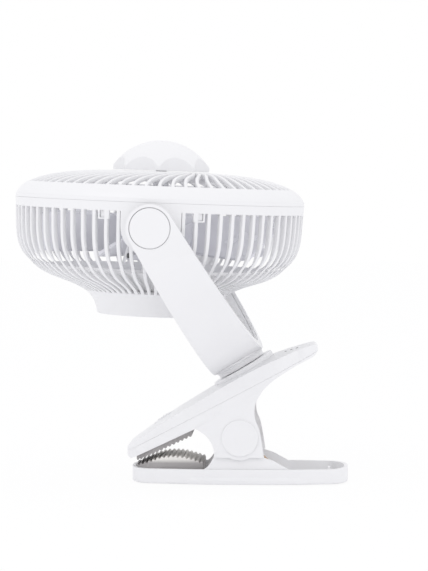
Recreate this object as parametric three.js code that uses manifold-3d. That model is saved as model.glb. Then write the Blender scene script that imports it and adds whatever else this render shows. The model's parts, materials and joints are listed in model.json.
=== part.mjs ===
// Clip fan: a round fan head in a U-shaped yoke, on a spring clip with a toothed jaw.
// Millimetres, +Z up. X runs from the clip's nose (-X) to its thumb end (+X), and Y across it.
// The origin is on the flat rubber foot under the clip, straight below the clip's spring pin.
import * as THREE from "three";
import { mergeVertices } from "three/addons/utils/BufferGeometryUtils.js";
import Module from "manifold-3d";

const wasm = await Module();
wasm.setup();

// Clearances
const SEAT_GAP = 0.3; // between pieces that are fixed to each other
const RUN_GAP = 0.4; // between pieces that turn or slide on each other
const DEG = Math.PI / 180;

// Fan head, on its own axis. Heights are counted from the seam between bowl and grille.
const HEAD_RADIUS = 90;
const HEAD_LEAN = 2.15; // degrees that the head's axis leans towards +X
const PIVOT_DROP = 15; // the tilt pivot is this far below the seam
const BOWL_WALL = 2.4;
const BOWL_DEPTH = 70.8;
const BOWL_STRAIGHT = 16; // depth down to which the bowl's side is straight
const SHOULDER_INSET = 25.3; // the bowl turns in to its neck this far inside the head's radius
const NECK_HEIGHT = 21.7; // from there to the neck's flat end
const NECK_RADIUS = 38;
const BAND_HEIGHT = 5.6; // plain band under the seam
const CAGE_RIBS = 72;
const CAGE_RIB_WIDTH = 2;
const CAGE_RIB_DEPTH = 3;
const NECK_WALL_HEIGHT = 13.3; // the neck's closed wall, up from its flat end
const NECK_TOP = BOWL_DEPTH - NECK_WALL_HEIGHT;
const RIB_RUN_IN = 2.5; // the ribs run into the neck's wall over this height
const NECK_INSET = 1; // the neck's wall lies this far behind the ribs' edge
const NECK_WALL = 2.2;
const PIVOT_PANEL_WIDTH = 36; // plain panel of the bowl round each pivot
const PIVOT_PANEL_DROP = 17; // and how far it reaches below the pivot
const PIVOT_BOSS_DROP = 1.8; // from the seam down to the boss round each pivot
const PIVOT_BOSS_RADIUS = PIVOT_DROP - PIVOT_BOSS_DROP;
const SNAP_ANGLE = 18.5; // degrees from a pivot to the snap windows beside it
const SNAP_WIDTH = 4.5;
const SNAP_DEPTH = 9.6; // lower edge of a snap tongue, below the seam

// Front grille
const DOME_HEIGHT = 18.8;
const DOME_POWER = 3.5;
const DOME_ROUNDNESS = 0.49;
const SPIRAL_RIBS = 64;
const SPIRAL_RIB_WIDTH = 2;
const SPIRAL_RIB_DEPTH = 3;
const SPIRAL_RIB_SET = 0.25; // the ribs lie this far under the rim's surface
const SPIRAL_SWEEP = 28; // degrees that a rib sweeps round on its way in
const SPIRAL_BENDS = [9, 25]; // where a rib bends, in from the slots' outer end
const RIM_WIDTH = 8; // the smooth rim outside the slots
const SLOT_RADIUS = HEAD_RADIUS - RIM_WIDTH;
const HUB_RADIUS = 31;
const HUB_WALL = 2;
const HUB_CUP_BOTTOM = 12; // lower edge of the hub's cup, above the seam
const SKIRT_DEPTH = 4.2; // the grille's skirt reaches this far down inside the bowl

// Knob on the grille's hub
const KNOB_RADIUS = 30;
const KNOB_DOME_EXTRA = 6; // the dome's radius is this much larger than the knob's
const KNOB_DOME_RADIUS = KNOB_RADIUS + KNOB_DOME_EXTRA;
const KNOB_TOP = 37.8; // above the seam
const KNOB_FLUTES = 8;
const FLUTE_RADIUS = 23.5;
const FLUTE_STANDOFF = 19; // from the knob's edge out to a flute's centre
const FLUTE_CENTRE = KNOB_RADIUS + FLUTE_STANDOFF;
const KNOB_WALL = 2.4;
const SPINDLE_RADIUS = 3.4;
const HUB_BOSS_RADIUS = 5;
const HUB_BOSS_GAP = 2.6; // from the hub's middle boss down to the nut on the motor's shaft

// Impeller and motor. Depths are below the seam.
const BLADES = 5;
const BLADE_TIP_GAP = 11.5; // from the blades' tips to the head's outside
const BLADE_THICKNESS = 1.8;
const BLADE_ROOT_HEIGHT = 22;
const BLADE_TIP_HEIGHT = 27;
const BLADE_ROOT_CHORD = 62; // degrees round the axis
const BLADE_TIP_CHORD = 44;
const BLADE_SWEEP = 24; // degrees that the tip trails the root
const IMPELLER_HUB_RADIUS = 21;
const IMPELLER_STANDOFF = 33.8; // from the hub's lower edge to the neck's flat end
const IMPELLER_HUB_HEIGHT = 32;
const BLADE_RISE = 16.5; // from the hub's lower edge up to the blades' mid height
const IMPELLER_WALL = 2;
const ROTOR_WALL = 1.2;
const MAGNET_THICKNESS = 1.8;
const STATOR_RADIUS = 14.6;
const STATOR_HEIGHT = 15;
const STATOR_DROP = 10; // from the impeller hub's top
const STATOR_TEETH = 9;
const BEARING_RADIUS = 4.5;
const BEARING_HEIGHT = 4;
const SHAFT_RADIUS = 1.5;
const SHAFT_PROUD = 5; // over the impeller hub's top
const NUT_PROUD = 1.4; // over the shaft's end
const MOUNT_WALL = 2;
const MOUNT_RIM_RISE = 2.6; // the motor mount's dished rim starts this far above the bowl's shoulder
const MOUNT_STANDOFF = 12.8; // from its flat floor to the neck's flat end
const MOTOR_BOARD_RADII = [4, 14];
const MOTOR_BOARD_THICKNESS = 1.6;
const MOTOR_BOARD_DROP = 5; // under the mount's floor
const PEDESTAL_RADIUS = 9;

// Yoke. Its axis leans back from the clip to the tilt pivot.
const YOKE_LEAN = 30.5; // degrees from upright, towards -X
const YOKE_GAP = 3; // between the head and the yoke's arms
const YOKE_INNER_RADIUS = HEAD_RADIUS + YOKE_GAP;
const YOKE_THICKNESS = 5.75;
const YOKE_END_WIDTH = 28.3; // across the round ends
const YOKE_FOOT_WIDTH = 34; // across the band at its lowest point
const YOKE_WALL = 2;
const LINER_THICKNESS = 1.4;
const PIVOT_CAP_RADIUS = 12;
const PIVOT_CAP_THICKNESS = 1.8;
const PIVOT_PIN_RADIUS = 4;
const WASHER_THICKNESS = 1;
const NECK_PIN_RADIUS = 15.5; // the round neck between yoke and swivel disc
const NECK_PIN_HEIGHT = 3.75;
const SWIVEL_DISC_RADIUS = 20.6;
const SWIVEL_DISC_HEIGHT = 3.75;
const SWIVEL_SPIGOT_RADIUS = 8;
const LEAD_RADIUS = 0.9;
const PIN_HEAD_RADIUS = 7;
const PIN_HEAD_THICKNESS = 1;
const WASHER_RADIUS = 9;
const LINER_HOLE_RADIUS = 9.6;
const SWIVEL_SCREW_RADIUS = 2;
const SWIVEL_WASHER_RADIUS = 11;
const MOTOR_LEAD_RADIUS = 1;
const MOTOR_LEAD_OFFSET = -12; // where the lead comes out, beside the pivot

// Clip
const SPRING_PIN_HEIGHT = 29;
const SPRING_PIN_RADIUS = 3;
const DISC_SEAT_X = 2.8; // middle of the swivel disc's underside
const DISC_SEAT_Z = 68.1;
const CHEEK_FACE = 28; // half the clip's width over the upper jaw's cheeks
const CHEEK_WALL = 1.8;
const EAR_WALL = 2.2;
const JAW_WALL = 2;
const JAW_NOSE_X = -71;
const JAW_NOSE_Z = 19.4;
const JAW_TAIL_X = 48.1;
const JAW_TAIL_Z = 82;
// The cover's crowned top, from the nose to the thumb end, and the housing's underside, both seen from the side.
const COVER_TOP = [[-65.6, 26.6], [-45, 41.6], [-19.4, 57.6], [2, 70], [21.4, 79.4], [43.9, 86.6]];
const THUMB_UNDER = [[45, 78.5], [35, 73.5], [23, 66.3], [14.4, 58.8]];
const FLOOR_TOP = [10, 51.5]; // the sloping floor between the cheeks, at its top and bottom ends
const FLOOR_END = [-27.5, 34.7];
const FLOOR_NOSE = [-68, 15.2];
const HOLLOW_ENDS = [-62, 40]; // how far the housing's hollow reaches in X
const HOLLOW_NOSE_RISE = 3; // its floor over the nose's underside, beside the wall
const SOCKET = [8.9, 3.2, 7]; // width, height and depth of the charging socket
const SOCKET_AT = [-6, 50.5];
const JAW_CORNER = 12;
const JAW_NOSE_HALF = 23; // half widths at the nose and at the thumb end
const JAW_TAIL_HALF = 20;
const CROWN = 2.4; // drop of the top cover's edges
const SPRING_CAP_RADIUS = 11.3;
const SPRING_CAP_PROUD = 0.6;
const CHEEK_BOSS_WALL = 2.3; // round the cap
const CHEEK_BOSS_RADIUS = SPRING_CAP_RADIUS + CHEEK_BOSS_WALL;
const CHEEK_DIP = 1.6; // the boss dips this far below the cheeks' lower edge
const CHEEK_BOTTOM = SPRING_PIN_HEIGHT - CHEEK_BOSS_RADIUS + CHEEK_DIP;

const BASE_FRONT_X = -67.8;
const BASE_TAIL_X = 66.9;
const BASE_HALF = 30;
const BASE_MIDDLE_X = 4; // where the base is widest
const BASE_CORNER = 14;
const BASE_FRONT_HALF = 24;
const BASE_TAIL_HALF = 25.5;
const BASE_LIP_HEIGHT = 4.9;
const BASE_LIP_PROUD = 1.6; // the lip stands this far out of the wall at mid length
const BASE_WALL_HEIGHT = 9.6;
const BASE_WALL = 2.2;
const BASE_FLOOR = 2.2;
const FOOT_PROUD = 0.6;
const FOOT_THICKNESS = 1.4;

const PAD_HALF = 21.5;
const UPPER_PAD_ENDS = [-65.5, -29];
const UPPER_PAD_THICKNESS = [4.4, 5]; // at the nose and at the throat, with its teeth
const LOWER_PAD_ENDS = [-65.6, -22.6];
const LOWER_PAD_FACE = [[-66, 10.6], [-58, 13.4], [-50, 16.3], [-43, 17.3], [-34, 16.6], [-22.6, 13.2]];
const PAD_SEAT = 5.2; // height of the base's raised floor under the lower pad
const PAD_PITCH = 4.4;
const PAD_TOOTH = 1.3;

const SPRING_COIL_RADIUS = 10.6;
const SPRING_WIRE_RADIUS = 1.1;
const SPRING_TURNS = 5;
const SPRING_LEG_END_X = 52;
const SPRING_LEG_UNDER = [5.1, 0.5]; // the upper leg's last two bends, under the top of the jaw's sloping floor

const BATTERY = [37, 34, 7.6];
const BOARD = [19, 30, 1.6];
const BUTTON_X = -49;
const BUTTON_RADIUS = 6.5;
const BATTERY_FROM_BUTTON = 20; // in X, from the button's edge to the cell's middle
const BUTTON_PROUD = 0.4;
const BUTTON_STEM = 5;
const SWITCH_HEIGHT = 0.9; // of the key switch over the control board
const LIGHT_COUNT = 3;
const LIGHT_FIRST_X = 27.9;
const LIGHT_PITCH = 3.5;
const LIGHT_Y = -11;
const LIGHT_RADIUS = 0.8;

const ROUND_FACES = 16; // facets of a small round piece
const HEAD_FACES = 72; // facets of the head's rings

// ---------- Helpers ----------

function solid(geometry) {
  const bare = geometry.clone();
  bare.deleteAttribute("normal");
  bare.deleteAttribute("uv");
  const merged = mergeVertices(bare, 1e-4);
  const corners = merged.index.array;
  const kept = [];
  for (let i = 0; i < corners.length; i += 3) {
    const [a, b, c] = corners.slice(i, i + 3);
    if (a !== b && b !== c && c !== a) kept.push(a, b, c);
  }
  const mesh = new wasm.Mesh({
    numProp: 3,
    vertProperties: merged.attributes.position.array,
    triVerts: new Uint32Array(kept),
  });
  return new wasm.Manifold(mesh);
}

function geometryOf(made) {
  const mesh = made.getMesh();
  const geometry = new THREE.BufferGeometry();
  geometry.setAttribute("position", new THREE.BufferAttribute(mesh.vertProperties, 3));
  geometry.setIndex(new THREE.BufferAttribute(mesh.triVerts, 1));
  return geometry;
}

function join(...geometries) {
  return wasm.Manifold.union(geometries.map(solid));
}

function cut(made, ...geometries) {
  return geometries.reduce((left, tool) => left.subtract(solid(tool)), made);
}

// A side outline drawn in X and Z, made solid from yFrom to yTo.
function sideways(shape, yFrom, yTo, steps = 1) {
  const options = { depth: yTo - yFrom, bevelEnabled: false, curveSegments: 6, steps };
  return new THREE.ExtrudeGeometry(shape, options).rotateX(90 * DEG).translate(0, yTo, 0);
}

// A plan outline drawn in X and Y, made solid from zFrom to zTo.
function upright(shape, zFrom, zTo) {
  const options = { depth: zTo - zFrom, bevelEnabled: false, curveSegments: 4 };
  return new THREE.ExtrudeGeometry(shape, options).translate(0, 0, zFrom);
}

// An end outline drawn in Y and Z, made solid from xFrom to xTo.
function endways(shape, xFrom, xTo) {
  const options = { depth: xTo - xFrom, bevelEnabled: false, curveSegments: 12 };
  const turn = new THREE.Matrix4().set(0, 0, 1, xFrom, 1, 0, 0, 0, 0, 1, 0, 0, 0, 0, 0, 1);
  return new THREE.ExtrudeGeometry(shape, options).applyMatrix4(turn);
}

// A profile of [radius, height] points turned round Z.
function revolve(points, faces = ROUND_FACES) {
  const outline = points.map(([r, z]) => new THREE.Vector2(r, z));
  if (THREE.ShapeUtils.area(outline) < 0) outline.reverse();
  const onAxis = outline[0].x === 0 && outline.at(-1).x === 0;
  if (!onAxis) outline.push(outline[0].clone());
  return new THREE.LatheGeometry(outline, faces).rotateX(90 * DEG);
}

function rod(radius, zFrom, zTo, faces = ROUND_FACES) {
  return revolve([[0, zFrom], [radius, zFrom], [radius, zTo], [0, zTo]], faces);
}

function tube(inner, outer, zFrom, zTo, faces = ROUND_FACES) {
  return revolve([[inner, zFrom], [outer, zFrom], [outer, zTo], [inner, zTo]], faces);
}

// The same along Y.
function crossRod(radius, yFrom, yTo, faces = ROUND_FACES) {
  return rod(radius, yFrom, yTo, faces).rotateX(-90 * DEG);
}

function crossTube(inner, outer, yFrom, yTo, faces = ROUND_FACES) {
  return tube(inner, outer, yFrom, yTo, faces).rotateX(-90 * DEG);
}

function box(from, to) {
  const size = to.map((v, i) => v - from[i]);
  const middle = to.map((v, i) => (v + from[i]) / 2);
  return new THREE.BoxGeometry(...size).translate(...middle);
}

function outlineOf(points) {
  return new THREE.Shape(points.map(([x, y]) => new THREE.Vector2(x, y)));
}

// Points moved square to their line by a distance, to the left of its direction.
function offsetLine(points, distance) {
  return points.map((point, i) => {
    const before = points[Math.max(i - 1, 0)];
    const after = points[Math.min(i + 1, points.length - 1)];
    const along = new THREE.Vector2().subVectors(after, before).normalize();
    return new THREE.Vector2(point.x - along.y * distance, point.y + along.x * distance);
  });
}

function moved(geometry, change) {
  const position = geometry.attributes.position;
  const point = new THREE.Vector3();
  for (let i = 0; i < position.count; i++) {
    point.fromBufferAttribute(position, i);
    change(point);
    position.setXYZ(i, point.x, point.y, point.z);
  }
  return geometry;
}

function wire(points, radius, steps, closed = false) {
  const path = new THREE.CatmullRomCurve3(points, closed, "centripetal");
  const section = new THREE.Shape().absarc(0, 0, radius, 0, 360 * DEG);
  const options = { extrudePath: path, steps, bevelEnabled: false, curveSegments: 3 };
  return new THREE.ExtrudeGeometry(section, options);
}

const MATERIALS = {
  shell: { color: 0xf4f4f6, roughness: 0.42, metalness: 0 },
  blade: { color: 0xe9e9f4, roughness: 0.3, metalness: 0 },
  rubber: { color: 0x3a3538, roughness: 0.85, metalness: 0 },
  steel: { color: 0xb9b4ad, roughness: 0.35, metalness: 1 },
  spring: { color: 0xa87b4f, roughness: 0.35, metalness: 1 },
  copper: { color: 0xb4683a, roughness: 0.4, metalness: 1 },
  board: { color: 0x2c6a46, roughness: 0.6, metalness: 0 },
  cell: { color: 0xb8bcc2, roughness: 0.4, metalness: 0.6 },
  magnet: { color: 0x3c3c40, roughness: 0.6, metalness: 0.2 },
  lead: { color: 0x1a1a1c, roughness: 0.55, metalness: 0 },
  light: { color: 0x55555a, roughness: 0.3, metalness: 0 },
};

function piece(group, name, made, finish) {
  const geometry = made.isBufferGeometry ? made : geometryOf(made);
  const mesh = new THREE.Mesh(geometry, new THREE.MeshStandardMaterial(MATERIALS[finish]));
  mesh.name = name;
  group.add(mesh);
}

function placed(parent, x, z, turnDegrees) {
  const group = new THREE.Group();
  group.position.set(x, 0, z);
  group.rotation.y = turnDegrees * DEG;
  parent.add(group);
  return group;
}

// ---------- Where the groups stand ----------

const discTop = YOKE_INNER_RADIUS + YOKE_THICKNESS + NECK_PIN_HEIGHT;
const discBottom = discTop + SWIVEL_DISC_HEIGHT;
const PIVOT_X = DISC_SEAT_X - discBottom * Math.sin(YOKE_LEAN * DEG);
const PIVOT_Z = DISC_SEAT_Z + discBottom * Math.cos(YOKE_LEAN * DEG);

const fan = new THREE.Group();
const clip = placed(fan, 0, 0, 0);
const yoke = placed(fan, PIVOT_X, PIVOT_Z, -YOKE_LEAN);
const head = placed(fan, PIVOT_X, PIVOT_Z, HEAD_LEAN);
const SEAM = PIVOT_DROP; // the seam's height over the tilt pivot, in the head's group

// A height below the seam, as a height in the head's group.
const down = (depth) => SEAM - depth;
const up = (height) => SEAM + height;

// Depths of the impeller's hub, and of the bowl's shoulder where it turns in to its neck.
const impellerBottom = BOWL_DEPTH - IMPELLER_STANDOFF;
const impellerTop = impellerBottom - IMPELLER_HUB_HEIGHT;
const shoulderDepth = BOWL_DEPTH - NECK_HEIGHT;
const hubBossBottom = up(SHAFT_PROUD + NUT_PROUD + HUB_BOSS_GAP - impellerTop);

// ---------- Rear cage: a bowl of ribs on a band, panels and a neck ----------

const shoulderRadius = HEAD_RADIUS - SHOULDER_INSET;
const ribEnd = NECK_TOP + RIB_RUN_IN;

// The bowl's outer line from the seam to the neck's flat end, as [radius, height] points.
function bowlLine(steps) {
  const line = new THREE.Path();
  line.moveTo(HEAD_RADIUS, up(-SEAT_GAP));
  line.lineTo(HEAD_RADIUS - 0.7, down(BOWL_STRAIGHT));
  line.bezierCurveTo(
    HEAD_RADIUS - 1.4, down(shoulderDepth - 16.1),
    HEAD_RADIUS - 6, down(shoulderDepth - 6.1),
    shoulderRadius, down(shoulderDepth),
  );
  line.bezierCurveTo(
    shoulderRadius - 12.7, down(shoulderDepth + 4.1),
    NECK_RADIUS + 0.8, down(shoulderDepth + 8.4),
    NECK_RADIUS, down(BOWL_DEPTH),
  );
  return line.getPoints(steps);
}

// The bowl's line at a list of depths.
function bowlAt(...depths) {
  const line = bowlLine(40);
  return depths.map((depth) => {
    const next = Math.max(line.findIndex((p) => p.y <= down(depth) + 1e-6), 1);
    const [a, b] = [line[next - 1], line[next]];
    return a.clone().lerp(b, (a.y - down(depth)) / (a.y - b.y));
  });
}

const NECK_SPLIT = shoulderDepth + 2.6; // depths between which the bowl's line bends most
const BOWL_SPLIT = shoulderDepth - 4.6;

function cageRib(index) {
  const turn = (index + 0.5) * (360 / CAGE_RIBS) * DEG;
  const across = HEAD_RADIUS * Math.cos(turn);
  const half = PIVOT_PANEL_WIDTH / 2 - 2;
  const behindPanel = Math.abs(across) < half;
  const panelEnd = PIVOT_DROP + PIVOT_PANEL_DROP - half + Math.sqrt(half ** 2 - across ** 2) - 4;
  const top = behindPanel ? panelEnd : BAND_HEIGHT - 0.5;
  // The rib's top lies inside the band's or panel's wall, and its end inside the neck's wall.
  const [rootOuter, rootInner] = [0.3, BOWL_WALL - 0.3].map((inset) => offsetLine(bowlAt(top, top + 1), -inset)[0]);
  const outer = [rootOuter, ...bowlAt(Math.max(top + 4, shoulderDepth - 19.1), BOWL_SPLIT - 3, shoulderDepth, NECK_SPLIT + 3)];
  const end = offsetLine(bowlAt(ribEnd - 1, ribEnd), -NECK_INSET - 0.4).slice(1);
  const open = [rootInner, ...offsetLine(bowlAt(Math.max(top + 5, shoulderDepth - 15.1), BOWL_SPLIT - 1, NECK_TOP - 2), -CAGE_RIB_DEPTH)];
  const sunk = offsetLine(bowlAt(ribEnd - 1, ribEnd), -NECK_INSET - NECK_WALL / 2).slice(1);
  const inner = [...open, ...sunk].reverse();
  const shape = new THREE.Shape([...outer, ...end, ...inner]);
  return sideways(shape, -CAGE_RIB_WIDTH / 2, CAGE_RIB_WIDTH / 2).rotateZ(turn);
}

// The two pivots' sides, as a factor on Y.
const SIDES = [-1, 1];

function pivotPanel(side) {
  const half = PIVOT_PANEL_WIDTH / 2;
  const shape = new THREE.Shape();
  shape.moveTo(-half, SEAM - 1);
  shape.lineTo(-half, half - PIVOT_PANEL_DROP);
  shape.absarc(0, half - PIVOT_PANEL_DROP, half, 180 * DEG, 360 * DEG);
  shape.lineTo(half, SEAM - 1);
  const from = side * (HEAD_RADIUS - 12);
  const to = side * (HEAD_RADIUS + 2);
  return sideways(shape, Math.min(from, to), Math.max(from, to));
}

const bossFace = YOKE_INNER_RADIUS - WASHER_THICKNESS - 2 * SEAT_GAP;

function pivotBoss(side) {
  const from = side * (HEAD_RADIUS - BOWL_WALL + 0.4);
  const to = side * bossFace;
  return crossRod(PIVOT_BOSS_RADIUS, Math.min(from, to), Math.max(from, to));
}

// A snap window's block in the bowl's wall, or the window itself.
function snapBlock(angle, width, top, bottom, inner, outer) {
  const block = box([inner, -width / 2, bottom], [outer, width / 2, top]);
  return block.rotateZ(angle * DEG);
}

const snapAngles = [-90 - SNAP_ANGLE, -90 + SNAP_ANGLE, 90 - SNAP_ANGLE, 90 + SNAP_ANGLE];
const snapInner = HEAD_RADIUS - 0.7 - BOWL_WALL;

function rearCage() {
  const band = tube(HEAD_RADIUS - BOWL_WALL, HEAD_RADIUS, down(BAND_HEIGHT), up(-SEAT_GAP), HEAD_FACES);
  const neckLine = bowlAt(NECK_TOP, NECK_TOP + 6, BOWL_DEPTH);
  const outer = offsetLine(neckLine, -NECK_INSET).map((p) => [p.x, p.y]);
  const inner = offsetLine(neckLine, -NECK_INSET - NECK_WALL).map((p) => [p.x, p.y]);
  const bottom = down(BOWL_DEPTH);
  const floorTop = bottom + NECK_WALL;
  const neckProfile = [
    [0, bottom],
    [outer.at(-1)[0], bottom],
    ...outer.slice(0, -1).reverse(),
    ...inner.filter(([, z]) => z > floorTop + 1),
    [inner.at(-1)[0], floorTop],
    [0, floorTop],
  ];
  const ribs = Array.from({ length: CAGE_RIBS }, (_, i) => cageRib(i));
  const panelLine = bowlAt(1, shoulderDepth - 25.1, shoulderDepth - 13.1);
  const panelRing = [...panelLine, ...offsetLine(panelLine, -BOWL_WALL).reverse()];
  const shell = solid(revolve(panelRing.map((p) => [p.x, p.y]), HEAD_FACES));
  const panels = SIDES.map((side) => shell.intersect(solid(pivotPanel(side))));
  const blocks = snapAngles.map((angle) =>
    snapBlock(angle, SNAP_WIDTH + 3, down(BAND_HEIGHT - 0.6), down(SNAP_DEPTH + 1.6), snapInner, HEAD_RADIUS - 0.4));
  let cage = join(band, revolve(neckProfile, HEAD_FACES / 2), ...ribs, ...blocks);
  cage = wasm.Manifold.union([cage, ...panels]);
  cage = cage.add(join(...SIDES.map(pivotBoss)));
  const hole = crossRod(PIVOT_PIN_RADIUS + RUN_GAP, -HEAD_RADIUS - 10, HEAD_RADIUS + 10);
  const windows = snapAngles.map((angle) =>
    snapBlock(angle, SNAP_WIDTH + 2 * SEAT_GAP, down(BAND_HEIGHT - 1), down(SNAP_DEPTH + SEAT_GAP),
      snapInner - 4, HEAD_RADIUS + 2));
  return cut(cage, hole, ...windows);
}

piece(head, "rear_cage", rearCage(), "shell");

// ---------- Front grille: spiral ribs draped over a dome ----------

function domeHeight(radius) {
  const share = Math.min(radius / HEAD_RADIUS, 1);
  return DOME_HEIGHT * (1 - share ** DOME_POWER) ** DOME_ROUNDNESS;
}

// The angle that a spiral rib has swept when it has come in to a radius.
function spiralTurn(radius) {
  const inward = (SLOT_RADIUS - radius) / (SLOT_RADIUS - HUB_RADIUS);
  return SPIRAL_SWEEP * DEG * inward * Math.abs(inward);
}

function spiralRib(index) {
  const start = ((index + 0.5) * 360 / SPIRAL_RIBS) * DEG;
  const radii = [SLOT_RADIUS + 1, ...SPIRAL_BENDS.map((inward) => SLOT_RADIUS - inward), HUB_RADIUS - 1];
  const middle = radii.map((radius) => {
    const turn = start + spiralTurn(radius);
    return new THREE.Vector2(radius * Math.cos(turn), radius * Math.sin(turn));
  });
  const half = SPIRAL_RIB_WIDTH / 2;
  const shape = new THREE.Shape([
    ...offsetLine(middle, half),
    ...offsetLine(middle, -half).reverse(),
  ]);
  const strip = upright(shape, -SPIRAL_RIB_DEPTH, 0);
  return moved(strip, (p) => {
    p.z += up(domeHeight(Math.hypot(p.x, p.y)) - SPIRAL_RIB_SET);
  });
}

function grilleRim() {
  const outerRadii = [HEAD_RADIUS, HEAD_RADIUS - 1, HEAD_RADIUS - 3.5, SLOT_RADIUS];
  const outer = outerRadii.map((r) => [r, up(domeHeight(r) + (r === HEAD_RADIUS ? 1 : 0))]);
  const innerWall = HEAD_RADIUS - BOWL_WALL;
  const skirtOuter = innerWall - SEAT_GAP;
  return revolve([
    [HEAD_RADIUS, up(0)],
    ...outer,
    [SLOT_RADIUS, up(domeHeight(SLOT_RADIUS) - SPIRAL_RIB_DEPTH - 0.6)],
    [skirtOuter - 2, down(SKIRT_DEPTH)],
    [skirtOuter, down(SKIRT_DEPTH)],
    [skirtOuter, up(0)],
  ], SPIRAL_RIBS);
}

function snapTongue(angle) {
  const skirtOuter = HEAD_RADIUS - BOWL_WALL - SEAT_GAP;
  const inside = snapInner - 2.2;
  const tongue = box([inside, -SNAP_WIDTH / 2, down(SNAP_DEPTH)],
    [snapInner - SEAT_GAP, SNAP_WIDTH / 2, down(SKIRT_DEPTH - 1)]);
  const hook = box([inside, -SNAP_WIDTH / 2, down(SNAP_DEPTH)],
    [snapInner + 1.6, SNAP_WIDTH / 2, down(BAND_HEIGHT - 0.6)]);
  return [tongue, hook].map((g) => g.rotateZ(angle * DEG));
}

function grilleHub() {
  const deck = up(domeHeight(HUB_RADIUS));
  return revolve([
    [SPINDLE_RADIUS + RUN_GAP, hubBossBottom],
    [HUB_BOSS_RADIUS, hubBossBottom],
    [HUB_BOSS_RADIUS, deck - HUB_WALL],
    [HUB_RADIUS - HUB_WALL, deck - HUB_WALL],
    [HUB_RADIUS - HUB_WALL, up(HUB_CUP_BOTTOM)],
    [HUB_RADIUS, up(HUB_CUP_BOTTOM)],
    [HUB_RADIUS, deck],
    [SPINDLE_RADIUS + RUN_GAP, deck],
  ], 24);
}

function frontGrille() {
  const ribs = Array.from({ length: SPIRAL_RIBS }, (_, i) => spiralRib(i));
  return join(grilleRim(), grilleHub(), ...ribs, ...snapAngles.flatMap(snapTongue));
}

piece(head, "front_grille", frontGrille(), "shell");

// ---------- Knob ----------

// The knob's fluted outline: ridges on a circle with a round flute between each two.
function flutedShape() {
  const [reach, flute, centre] = [KNOB_RADIUS, FLUTE_RADIUS, FLUTE_CENTRE];
  // Half the angle that a flute takes of the ridge circle, and its half angle on its own circle.
  const atHub = Math.acos((reach ** 2 + centre ** 2 - flute ** 2) / (2 * reach * centre));
  const atFlute = Math.asin((reach * Math.sin(atHub)) / flute);
  const shape = new THREE.Shape();
  for (let i = 0; i < KNOB_FLUTES; i++) {
    const turn = ((i + 0.5) * 360 / KNOB_FLUTES) * DEG;
    const [x, y] = [centre * Math.cos(turn), centre * Math.sin(turn)];
    const facing = turn + 180 * DEG;
    shape.absarc(x, y, flute, facing + atFlute, facing - atFlute, true);
  }
  shape.closePath();
  return shape;
}

const deckTop = up(domeHeight(HUB_RADIUS));
const knobBottom = deckTop + RUN_GAP;

function frontKnob() {
  const centre = up(KNOB_TOP) - KNOB_DOME_RADIUS;
  const dome = [];
  const half = Math.asin((KNOB_RADIUS + 1) / KNOB_DOME_RADIUS);
  for (let i = 0; i <= 4; i++) {
    const a = (half * i) / 4;
    dome.push([KNOB_DOME_RADIUS * Math.sin(a), centre + KNOB_DOME_RADIUS * Math.cos(a)]);
  }
  const cap = revolve([...dome, [KNOB_RADIUS + 1, knobBottom - 1], [0, knobBottom - 1]], 24);
  const body = solid(upright(flutedShape(), knobBottom, up(KNOB_TOP + 1))).intersect(solid(cap));
  const hollow = solid(rod(FLUTE_CENTRE - FLUTE_RADIUS - KNOB_WALL, knobBottom - 1, up(KNOB_TOP + 1)));
  const innerCap = revolve([
    ...dome.map(([r, z]) => [r, z - KNOB_WALL]),
    [KNOB_RADIUS + 1, knobBottom - 2],
    [0, knobBottom - 2],
  ], 16);
  const spindle = rod(SPINDLE_RADIUS, hubBossBottom, up(KNOB_TOP - 1), 12);
  return body.subtract(hollow.intersect(solid(innerCap))).add(solid(spindle));
}

piece(head, "front_knob", frontKnob(), "shell");

// ---------- Motor mount, motor and impeller ----------

const mountFloor = BOWL_DEPTH - MOUNT_STANDOFF;
const bladeTip = HEAD_RADIUS - BLADE_TIP_GAP;
const statorTop = impellerTop + STATOR_DROP;
const pedestalTop = down(statorTop + STATOR_HEIGHT + 2);
const bearingWell = BEARING_RADIUS + 0.1;
const stemRadius = BEARING_RADIUS + 1.6;

function motorMount() {
  const reach = NECK_INSET + NECK_WALL + 3 * SEAT_GAP;
  const line = bowlAt(shoulderDepth - MOUNT_RIM_RISE, NECK_SPLIT + 2, mountFloor);
  const under = offsetLine(line, -reach).map((p) => [p.x, p.y]);
  const over = offsetLine(line, -reach - MOUNT_WALL).map((p) => [p.x, p.y]);
  const floorBottom = under.at(-1)[1];
  const floorTop = floorBottom + MOUNT_WALL;
  return revolve([
    [bearingWell, down(statorTop)],
    [stemRadius, down(statorTop)],
    [stemRadius, pedestalTop],
    [PEDESTAL_RADIUS, pedestalTop],
    [PEDESTAL_RADIUS + 2, floorTop],
    ...over.slice(0, -1).reverse(),
    ...under,
    [PEDESTAL_RADIUS, floorBottom],
    [PEDESTAL_RADIUS - MOUNT_WALL, pedestalTop - MOUNT_WALL],
    [bearingWell, pedestalTop - MOUNT_WALL],
  ], 18);
}

function motorStator() {
  const top = down(statorTop + 1);
  const bottom = top - STATOR_HEIGHT;
  const yokeRing = tube(stemRadius + SEAT_GAP, stemRadius + 3, bottom, top, 18);
  const parts = [yokeRing];
  for (let i = 0; i < STATOR_TEETH; i++) {
    const turn = (i * 360 / STATOR_TEETH) * DEG;
    parts.push(box([stemRadius + 2, -2.4, bottom], [STATOR_RADIUS, 2.4, top]).rotateZ(turn));
  }
  return join(...parts);
}

const rotorOuter = IMPELLER_HUB_RADIUS - IMPELLER_WALL - SEAT_GAP;
const hubTop = down(impellerTop);
const hubFloor = hubTop - IMPELLER_WALL;
const shaftTop = hubTop + SHAFT_PROUD;
const magnetOuter = rotorOuter - ROTOR_WALL - SEAT_GAP;

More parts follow.
